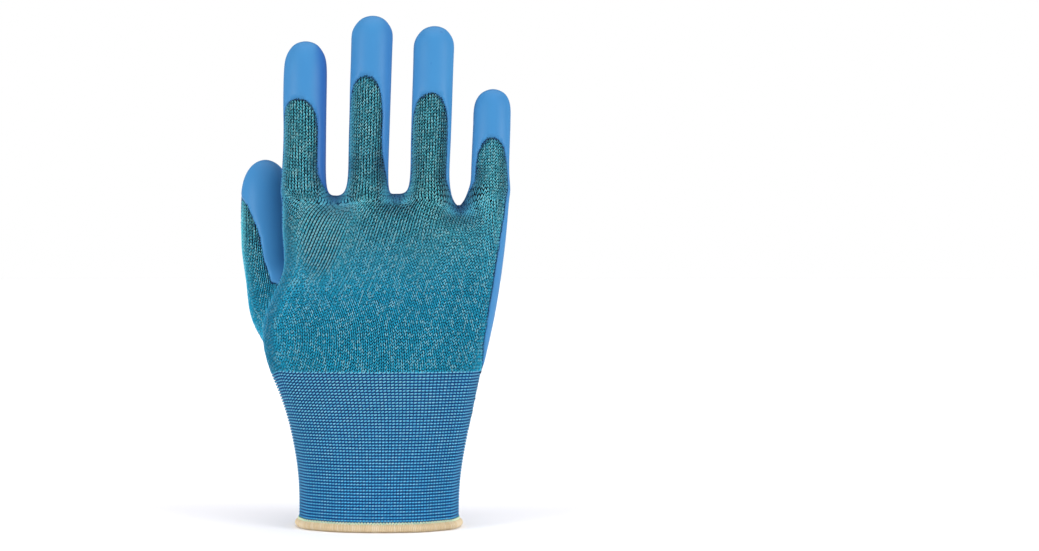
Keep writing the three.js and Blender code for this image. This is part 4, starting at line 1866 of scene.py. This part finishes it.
    def _stitches(self, tube: TubeGrid, us: Array, vs: Array, sway: Sway = straight) -> Sites:
        """Stands a tube's stitches where its knit is bare; sets their wetting, painted shade and spread.

        Args:
            tube: The tube.
            us: The columns.
            vs: The rows.
            sway: Where a column runs at a row.

        Returns:
            The places of the stitches.
        """
        sites, p = tube.sites(us, vs, self.lift, self.rng, sway, self.slip)
        depth = self.shop.bare.depth(tube.region.value, p)
        out = unit(sites.out)
        aside = out[:, 0]
        # Painted shade on the knit's sides near the knuckles, where it faces towards +X or -X.
        side = np.maximum(rising(aside, *self.side_soak), rising(-aside, *self.inner_soak))
        side *= rising(p[:, 2], *self.side_heights) * self.side_share
        # Painted shade on the hand's edge on the thumb's side.
        rim = self.rim_share * rising(-aside, *self.rim_soak) * (tube.region is Region.HAND)
        edge = falling(depth, *self.soak_edge) * self.edge_share
        # Painted shade round the webs, and where the knit is drawn smooth there.
        web, smooth = self._by_webs(p)
        sites.spread = self._spread(out, p) * (1.0 - smooth) - self.smooth_share * smooth
        sites.soak = np.maximum.reduce((edge, side, web, rim))
        return sites.kept(depth > -self.under_film)

    def _back(self) -> Sites:
        """Returns the places of the stitches on the back of the hand."""
        tube = TubeGrid(self.shop.guide, Region.HAND)
        rows = (CUFF_TOP_SECTION - self.row_overlap, len(HAND_SECTIONS) - 1.0)
        us = tube.spaced_columns(WALE_ROW, self.wales_from, self.wales_to, self.wale)
        vs = tube.spaced_rows(BACK_COLUMN, *rows, self.course)
        return self._stitches(tube, us, vs, partial(self._sway, us))

    def _finger(self, finger: Finger) -> Sites:
        """Returns the places of the stitches on a finger."""
        tube = TubeGrid(self.shop.guide, finger.region)
        vs = tube.spaced_rows(FINGER_COLUMN, 0.0, len(FINGER_PROFILE) - 1.0, self.course)
        sites = self._stitches(tube, self._wales(*self.finger_columns), vs, self._fanned)
        sites.spread = np.minimum(sites.spread, sites.spread * FINGER_KNIT[finger.region].open)
        return sites

    def _thumb(self) -> Sites:
        """Returns the places of the stitches on the thumb."""
        tube = TubeGrid(self.shop.guide, Region.THUMB)
        vs = tube.spaced_rows(0.0, 0.0, THUMB_TOP_ROW, self.course)
        return self._split(self._stitches(tube, self._wales(*self.thumb_columns), vs))


@dataclass
class RibbedCuff(SubAssembly):
    """The cuff: its ground, and the level rows of loops on it."""

    yarn: YarnFinish
    ground: GroundFinish
    seed: int = 17
    pitch: float = 1.36
    loop_width: float = 1.5
    lift: float = -0.05
    under_film: float = 0.9
    rows_from: float = 3.9
    ground_outer: float = -0.42
    ground_inner: float = -1.4
    tilt: float = -9.0
    side_facing: Span = (0.3, 0.95)
    side_spread: float = -0.6
    side_soak: float = 0.5
    loop: RepeatSizes = RepeatSizes(1.28, 0.61, 0.0008, 0.0, 0.0, 5.0, 5)

    def build(self) -> None:
        """Builds and fastens the ground and the rows."""
        depths = (self.ground_inner, self.ground_outer)
        ground = self.shop.ground("cuff_ground", [Region.CUFF], *depths, self.ground)
        report(ground, "knit_cuff", "knit_cuff")
        rows = self.grown(RepeatShape.LOOP, "cuff_rows", self._rows(), self.loop, self.yarn.material())
        report(rows, "knit_cuff", "knit_cuff")

    def _rows(self) -> Sites:
        """Stands the loops of the rows on the cuff.

        Returns:
            Their places.
        """
        tube = TubeGrid(self.shop.guide, Region.HAND)
        us = tube.spaced_columns(CUFF_ROW, 0.0, float(tube.columns), self.loop_width)
        vs = tube.spaced_rows(BACK_COLUMN, 0.0, float(CUFF_TOP_SECTION), self.pitch)
        sites, p = tube.sites(us, vs, self.lift, np.random.default_rng(self.seed))
        sites.up = turned(sites.up, sites.out, self.tilt)
        facing = rising(np.abs(sites.out[:, 1]), *self.side_facing)
        sites.spread = (1.0 - self.side_spread) * facing + self.side_spread
        # Painted shade on the cuff's sides, which face neither the back nor the palm.
        sites.soak = self.side_soak * (1.0 - facing)
        bare = self.shop.bare.depth(Region.CUFF.value, p) > -self.under_film
        return sites.kept(bare & (p[:, 2] > self.rows_from))


@dataclass
class DippedFilm(SubAssembly):
    """The film over the palm, the drops that make its edge ragged, and the dark lobes by them: yarn
    wetted by the film, and painted shadow of the film's edge.

    A drop's and a dark lobe's vary are the least and most of its size, as shares.
    """

    finish: FilmFinish
    trim_finish: GroundFinish
    inner: float = 0.02
    rise: float = 0.93
    edge_rise: float = 0.5
    edge_reach: float = 0.9
    snap: float = 0.25
    cut_span: Span = (0.05, 0.95)
    cut_passes: int = 16
    thick_facing: Span = (0.3, 0.9)
    thick_depth: float = 14.0
    thick_top: Span = (-6.0, 6.0)
    drop_seed: int = 23
    drop_pitch: float = 1.15
    drop_shift: float = 0.15
    drop_vary: Span = (0.5, 1.3)
    drop_lift: float = 0.18
    step: float = 0.5
    drop: RepeatSizes = RepeatSizes(0.8, 1.0, 0.0009, 0.0, 0.0, 20.0, 3)
    trim_seed: int = 37
    trim_inset: float = 0.6
    trim_vary: Span = (0.3, 1.2)
    trim: RepeatSizes = RepeatSizes(0.95, 0.85, 0.0010, 0.0, 0.0, 25.0, 31)

    def build(self) -> None:
        """Builds and fastens the film, its edge and the dark lobes by it: wet yarn and painted shadow."""
        points, normals, depths, faces = self._cut()
        rise = self.rise - (self.rise - self.edge_rise) * np.exp(-np.abs(depths) / self.edge_reach)
        material = self.finish.material()
        film = shell("coating_film", points, normals, faces, self.inner, rise, material)
        used = np.unique(faces)
        # Painted shade on the fingers' inner sides, which the film's material reads.
        note(film, "thick", self._thickness(points[used], normals[used]))
        report(film, "coating", "palm_coating")
        sites = self._edge_sites(points, normals, faces)
        drops = self.grown(RepeatShape.DROP, "coating_edge", sites, self.drop, material)
        report(drops, "coating", "palm_coating")
        # Dark lobes just inside the film's edge: yarn wetted by the film, and painted shadow of the edge.
        size = np.random.default_rng(self.trim_seed).uniform(*self.trim_vary, len(sites.at))
        at = sites.at - (unit(sites.up) * self.trim_inset * size[:, None]) * MM
        beside = replace(sites, at=at, across=sites.across * size, rise=sites.rise * size)
        material = self.trim_finish.material()
        trim = self.grown(RepeatShape.DROP, "edge_trim", beside, self.trim, material)
        report(trim, "knit_back", "knit_liner")

    def _thickness(self, p: Array, normals: Array) -> Array:
        """Finds how much painted shade darkens the film on the fingers' inner sides.

        Args:
            p: The points, in millimetres.
            normals: The outward direction at each.

        Returns:
            A share from 0 to 1.
        """
        x, y, z = p.T
        low, high = self.thick_top
        most = np.zeros(len(p))
        for finger in FINGERS:
            near = (np.abs(x - finger.root_x) < finger.root_width) & (np.abs(y) < self.thick_depth)
            most = np.maximum(most, near * FINGER_KNIT[finger.region].thick)
        facing = rising(normals[:, 0], *self.thick_facing)
        return most * facing * rising(z, KNUCKLES.z + low, KNUCKLES.z + high)

    def _crossings(self, depth: Array, edges: Array) -> Array:
        """Finds where the film ends on edges of the skin.

        Args:
            depth: How far each point of the skin lies inside the bare knit.
            edges: The edges that the film's end crosses.

        Returns:
            The place on each edge, as a share of it.
        """
        skin = self.shop.skin
        a, b = edges.T
        first, second = skin.point_region[a], skin.point_region[b]
        region = np.where(first == Region.HAND.value, second, first)
        low, high = (np.full(len(a), share) for share in self.cut_span)
        sign = np.sign(depth[b])
        for _ in range(self.cut_passes):
            middle = (low + high) / 2.0
            p = skin.points[a] + (skin.points[b] - skin.points[a]) * middle[:, None]
            below = self.shop.bare.depth(region, p) * sign < 0
            low, high = np.where(below, middle, low), np.where(below, high, middle)
        return ((low + high) / 2.0)[:, None]

    def _cut(self) -> tuple[Array, Array, Array, Array]:
        """Keeps the part of the skin that the film covers.

        Returns:
            The points, their outward directions, their depths and the triangles that are kept.
        """
        skin = self.shop.skin
        quads = skin.mesh.quads
        triangles = np.concatenate([quads[:, [0, 1, 2]], quads[:, [0, 2, 3]]])
        depth = self.shop.bare.depth(skin.point_region, skin.points)
        depth = np.where(np.abs(depth) < self.snap, 0.0, depth)
        edges, _ = edges_of(triangles)
        edges = edges[depth[edges[:, 0]] * depth[edges[:, 1]] < 0]
        a, b = edges.T
        share = self._crossings(depth, edges)
        points = np.concatenate([skin.points, skin.points[a] * (1 - share) + skin.points[b] * share])
        normals = unit(skin.normals[a] * (1 - share) + skin.normals[b] * share)
        made = {(int(i), int(j)): len(skin.points) + k for k, (i, j) in enumerate(edges)}
        covered = (depth[triangles] < 0).any(axis=1)
        bare = (depth[triangles] > 0).any(axis=1)
        kept = triangles[covered & ~bare].tolist()
        for triangle in triangles[covered & bare].tolist():
            outline: list[int] = []
            for start, end in zip(triangle, triangle[1:] + triangle[:1]):
                if depth[start] <= 0:
                    outline.append(start)
                if depth[start] * depth[end] < 0:
                    outline.append(made[(min(start, end), max(start, end))])
            kept += [[outline[0], outline[i + 1], outline[i + 2]] for i in range(len(outline) - 2)]
        depths = np.concatenate([depth, np.zeros(len(edges))])
        return points, np.concatenate([skin.normals, normals]), depths, np.array(kept)

    def _edge_sites(self, points: Array, normals: Array, faces: Array) -> Sites:
        """Spaces places along the film's edge.

        Args:
            points: The film's points, in millimetres.
            normals: The outward direction at each.
            faces: The film's triangles.

        Returns:
            The places.
        """
        following = dict(open_sides(faces))
        rng = np.random.default_rng(self.drop_seed)
        parts = []
        while following:
            loop = [min(following)]
            while loop[-1] in following:
                loop.append(following.pop(loop[-1]))
            parts.append(self._spaced(points[loop], normals[loop], rng))
        return Sites.joined(parts)

    def _spaced(self, line: Array, out: Array, rng: Random) -> Sites:
        """Spaces places along one closed line on the skin.

        Args:
            line: The line's points, in millimetres.
            out: The outward direction at each.
            rng: Where their shifts, sizes and shades come from.

        Returns:
            The places, whose length runs away from the film's edge.
        """
        length = distances(line)
        count = max(3, round(length[-1] / self.drop_pitch))
        shift = rng.uniform(-self.drop_shift, self.drop_shift, count)
        at = (np.arange(count) + shift + 0.5) / count * length[-1]
        p = read_line(at, length, line)
        n = unit(read_line(at, length, out))
        inward = np.cross(n, read_line(at + self.step, length, line) - p)
        size = self.drop_pitch * rng.uniform(*self.drop_vary, count)
        return Sites((p + n * self.drop_lift) * MM, n, inward, size * MM, size * MM, rng.random(count))


@dataclass
class OverlockedRim(SubAssembly):
    """The rim: a padded core, the thread wound round it, and the chain along its upper edge."""

    core_finish: GroundFinish
    thread: YarnFinish
    chain_thread: YarnFinish
    seed: int = 29
    height: float = 3.4
    reach_out: float = 1.75
    reach_in: float = 3.0
    floor: float = 0.25
    core_sides: int = 12
    turn_pitch: float = 0.82
    thread_radius: float = 0.36
    turn_lean: float = 7.0
    turn_jitter: float = 2.0
    turn_seed: int = 13
    chain_height: float = 4.15
    chain_out: float = 0.35
    chain_pitch: float = 1.4
    chain_rise: float = 1.5
    chain: RepeatSizes = RepeatSizes(0.34, 1.1, 0.0006, 24.0, 0.24, 8.0, 19)

    def build(self) -> None:
        """Builds and fastens the core, the turns and the chain."""
        tube = TubeGrid(self.shop.guide, Region.HAND)
        line, out = tube.points[0, :-1], unit(tube.normals[0, :-1] * [1.0, 1.0, 0.0])
        middle_out = (self.reach_out - self.reach_in) / 2.0
        half_out = (self.reach_out + self.reach_in) / 2.0
        half_up = self.height / 2.0
        report(self._core(line, out, middle_out, half_out), "binding", "cuff_binding")
        rng = np.random.default_rng(self.seed)
        spaced = partial(self._spaced, line, out, rng)
        turns = spaced(self.turn_pitch, middle_out, self.floor + half_up, (1.0, 1.0))
        section = (self.thread_radius * MM, half_up * MM, half_out * MM)
        sizes = RepeatSizes(*section, self.turn_lean, 0.0, self.turn_jitter, self.turn_seed)
        wraps = self.grown(RepeatShape.WRAP, "binding_turns", turns, sizes, self.thread.material())
        report(wraps, "binding", "cuff_binding")
        size = (self.chain_pitch, self.chain_rise)
        chain = spaced(self.chain_pitch, self.chain_out, self.chain_height, size)
        material = self.chain_thread.material()
        loops = self.grown(RepeatShape.CHAIN, "binding_chain", chain, self.chain, material)
        report(loops, "binding", "cuff_binding")

    def _core(self, line: Array, out: Array, middle_out: float, half_out: float) -> Piece:
        """Makes the padded roll.

        Args:
            line: The rim's points.
            out: The level outward direction at each.
            middle_out: How far outside the rim the roll's middle lies.
            half_out: Half of its width.

        Returns:
            The closed roll.
        """
        turn = np.arange(self.core_sides) * math.tau / self.core_sides
        away = middle_out + half_out * np.cos(turn)
        rings = line[:, None] + out[:, None] * away[None, :, None]
        rings[:, :, 2] = self.floor + self.height / 2.0 * (1.0 + np.sin(turn))
        faces = []
        for i in range(len(line)):
            here, after = i * self.core_sides, (i + 1) % len(line) * self.core_sides
            for j in range(self.core_sides):
                k = (j + 1) % self.core_sides
                faces.append((here + j, after + j, after + k, here + k))
        return solid_object("binding_core", rings.reshape(-1, 3), faces, self.core_finish.material())

    @staticmethod
    def _spaced(
        line: Array, out: Array, rng: Random, pitch: float, away: float, height: float, size: Span
    ) -> Sites:
        """Spaces upright places evenly round the rim.

        Args:
            line: The rim's points.
            out: The level outward direction at each.
            rng: Where the shades come from.
            pitch: The wanted distance from place to place.
            away: How far outside the rim they stand.
            height: The height that they stand at.
            size: Their width and rise.

        Returns:
            The places.
        """
        line, out = (np.concatenate([part, part[:1]]) for part in (line, out))
        length = distances(line)
        count = round(length[-1] / pitch)
        at = np.arange(count) / count * length[-1]
        n = unit(read_line(at, length, out))
        p = read_line(at, length, line) + n * away
        p[:, 2] = height
        up = np.tile([0.0, 0.0, 1.0], (count, 1))
        wide, tall = (np.full(count, part * MM) for part in size)
        return Sites(p * MM, n, up, wide, tall, rng.random(count))


@dataclass(frozen=True)
class SoftLight:
    """A broad soft light: the direction it lies in, its strength, and how wide it looks, in degrees."""

    name: str
    towards: Place
    strength: float
    softness: float

    def build(self) -> None:
        """Adds the light."""
        data = bpy.data.lights.new(self.name, "SUN")
        data.energy = self.strength
        data.angle = math.radians(self.softness)
        placed(self.name, data).rotation_euler = Vector(self.towards).to_track_quat("Z", "Y").to_euler()


LIGHTS = (
    SoftLight("left_light", (-0.85, -0.5, 0.08), 3.9, 30.0),
    SoftLight("right_light", (0.85, -0.5, 0.08), 3.9, 30.0),
    SoftLight("top_light", (0.1, -0.1, 1.0), 2.25, 80.0),
)


@dataclass
class Studio:
    """The floor, the lights, the white surroundings and the camera. Lengths are in metres."""

    floor: FloorFinish
    floor_half: float = 40.0
    frame_width: int = 1039
    glove_column: float = 375.5
    view_width: float = 0.482
    distance: float = 0.75
    camera_x: float = -0.0019
    camera_z: float = 0.1161
    sensor: float = 36.0
    nearest: float = 0.01
    fill_colour: Colour = (0.92, 0.88, 1.0, 1.0)
    fill_strength: float = 0.3
    seen_colour: Colour = (1.0, 1.0, 1.0, 1.0)

    def build(self) -> None:
        """Builds the whole studio."""
        self._camera()
        self._floor()
        for light in LIGHTS:
            light.build()
        self._world()
        bpy.context.scene.view_settings.view_transform = "Standard"

    def _camera(self) -> None:
        """Sets a level camera in front of the back of the hand."""
        data = bpy.data.cameras.new("camera")
        data.sensor_width = self.sensor
        data.lens = self.sensor * self.distance / self.view_width
        data.shift_x = (self.frame_width / 2.0 - self.glove_column) / self.frame_width
        data.clip_start = self.nearest
        camera = placed("camera", data)
        camera.location = (self.camera_x, -self.distance, self.camera_z)
        camera.rotation_euler = (math.pi / 2.0, 0.0, 0.0)
        bpy.context.scene.camera = camera

    def _floor(self) -> None:
        """Lays the floor that the glove's rim stands on."""
        half = self.floor_half
        corners = [(-half, -half, 0), (half, -half, 0), (half, half, 0), (-half, half, 0)]
        mesh = bpy.data.meshes.new("floor")
        mesh.from_pydata(corners, [], [(0, 1, 2, 3)])
        mesh.materials.append(self.floor.material())
        placed("floor", mesh)

    def _world(self) -> None:
        """Surrounds the glove with white, which lights it more softly than it shows behind it."""
        world = bpy.data.worlds.new("studio")
        world.use_nodes = True
        bench = NodeBench(world.node_tree)
        kind = "ShaderNodeBackground"
        fill = bench.add(kind, {"Color": self.fill_colour, "Strength": self.fill_strength})
        seen = bench.add(kind, {"Color": self.seen_colour, "Strength": 1.0})
        is_seen = bench.add("ShaderNodeLightPath").outputs["Is Camera Ray"]
        mix = bench.add("ShaderNodeMixShader", {0: is_seen, 1: fill.outputs[0], 2: seen.outputs[0]})
        bench.add("ShaderNodeOutputWorld", {"Surface": mix.outputs[0]})
        bpy.context.scene.world = world


TEAL_YARN = YarnFinish(
    "teal_yarn",
    base=linear(108, 236, 252),
    pale=linear(204, 255, 255),
    dark=linear(16, 88, 118),
    cool=linear(92, 224, 255),
    # Painted shade on the stitches' flanks.
    flank=linear(1, 26, 40),
    # Wetted by the film's edge, and painted shade on the sides, the hand's edge and round the webs.
    soaked=linear(17, 72, 122),
    foot=linear(10, 180, 222),
    foot_span=(108.0, 152.0),
    contrast=0.5,
    sheen=0.03,
)
# The grounds are painted dark as the shade between the stitches and loops.
TEAL_GROUND = GroundFinish("teal_ground", linear(4, 36, 52), linear(1, 18, 30), linear(17, 72, 122))
CUFF_YARN = YarnFinish(
    "cuff_yarn",
    base=linear(103, 204, 230),
    pale=linear(172, 234, 246),
    dark=linear(48, 146, 202),
    cool=linear(90, 196, 236),
    # Painted shade on the loops' flanks.
    flank=linear(10, 76, 138),
    # Painted shade on the cuff's sides.
    soaked=linear(30, 84, 142),
    foot=linear(66, 196, 255, 0.7),
    foot_span=(0.0, 60.0),
    drift=Clouds(18.0, 3.0, (0.35, 0.65)),
    contrast=0.3,
)
# Painted dark as the shade between the cuff's loops.
CUFF_GROUND = GroundFinish("cuff_ground", linear(12, 88, 148), linear(6, 62, 122))
FILM = FilmFinish(
    "blue_film",
    base=linear(68, 142, 197),
    deep=linear(66, 136, 193),
    speck=linear(56, 122, 182),
    # Painted shade on the fingers' inner sides.
    thick=linear(47, 100, 174),
    row_pitch=1.36,
    rows_top=72.6,
)
# Dark yarn by the film's edge: wet with the film, and painted shadow of the edge.
EDGE_WET_AND_SHADOW = GroundFinish("edge_trim", linear(16, 78, 120), linear(8, 52, 96))
BINDING_CORE = GroundFinish("binding_core", linear(214, 190, 148), linear(190, 164, 120))
BINDING_THREAD = YarnFinish(
    "binding_thread",
    base=linear(238, 216, 176),
    pale=linear(248, 238, 214),
    dark=linear(214, 186, 144),
    contrast=0.35,
)
CHAIN_SHARE = 0.9
CHAIN_THREAD = YarnFinish(
    "chain_thread",
    base=linear(244, 255, 214, CHAIN_SHARE),
    pale=linear(255, 255, 226, CHAIN_SHARE),
    dark=linear(196, 236, 206, CHAIN_SHARE),
    # Painted shade on the chain's flanks.
    flank=linear(150, 200, 170),
)


def main() -> None:
    """Builds the glove's sub-assemblies around the frame, and then the studio."""
    logging.basicConfig(level=logging.INFO, format="%(message)s")
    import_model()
    shop = Workshop.opened()
    assemblies = (
        KnittedHand(shop, TEAL_YARN, TEAL_GROUND),
        RibbedCuff(shop, CUFF_YARN, CUFF_GROUND),
        DippedFilm(shop, FILM, EDGE_WET_AND_SHADOW),
        OverlockedRim(shop, BINDING_CORE, BINDING_THREAD, CHAIN_THREAD),
    )
    for assembly in assemblies:
        assembly.build()
    Studio(FloorFinish("pale_floor", linear(250, 250, 250, 1.0))).build()


if __name__ == "__main__":
    main()
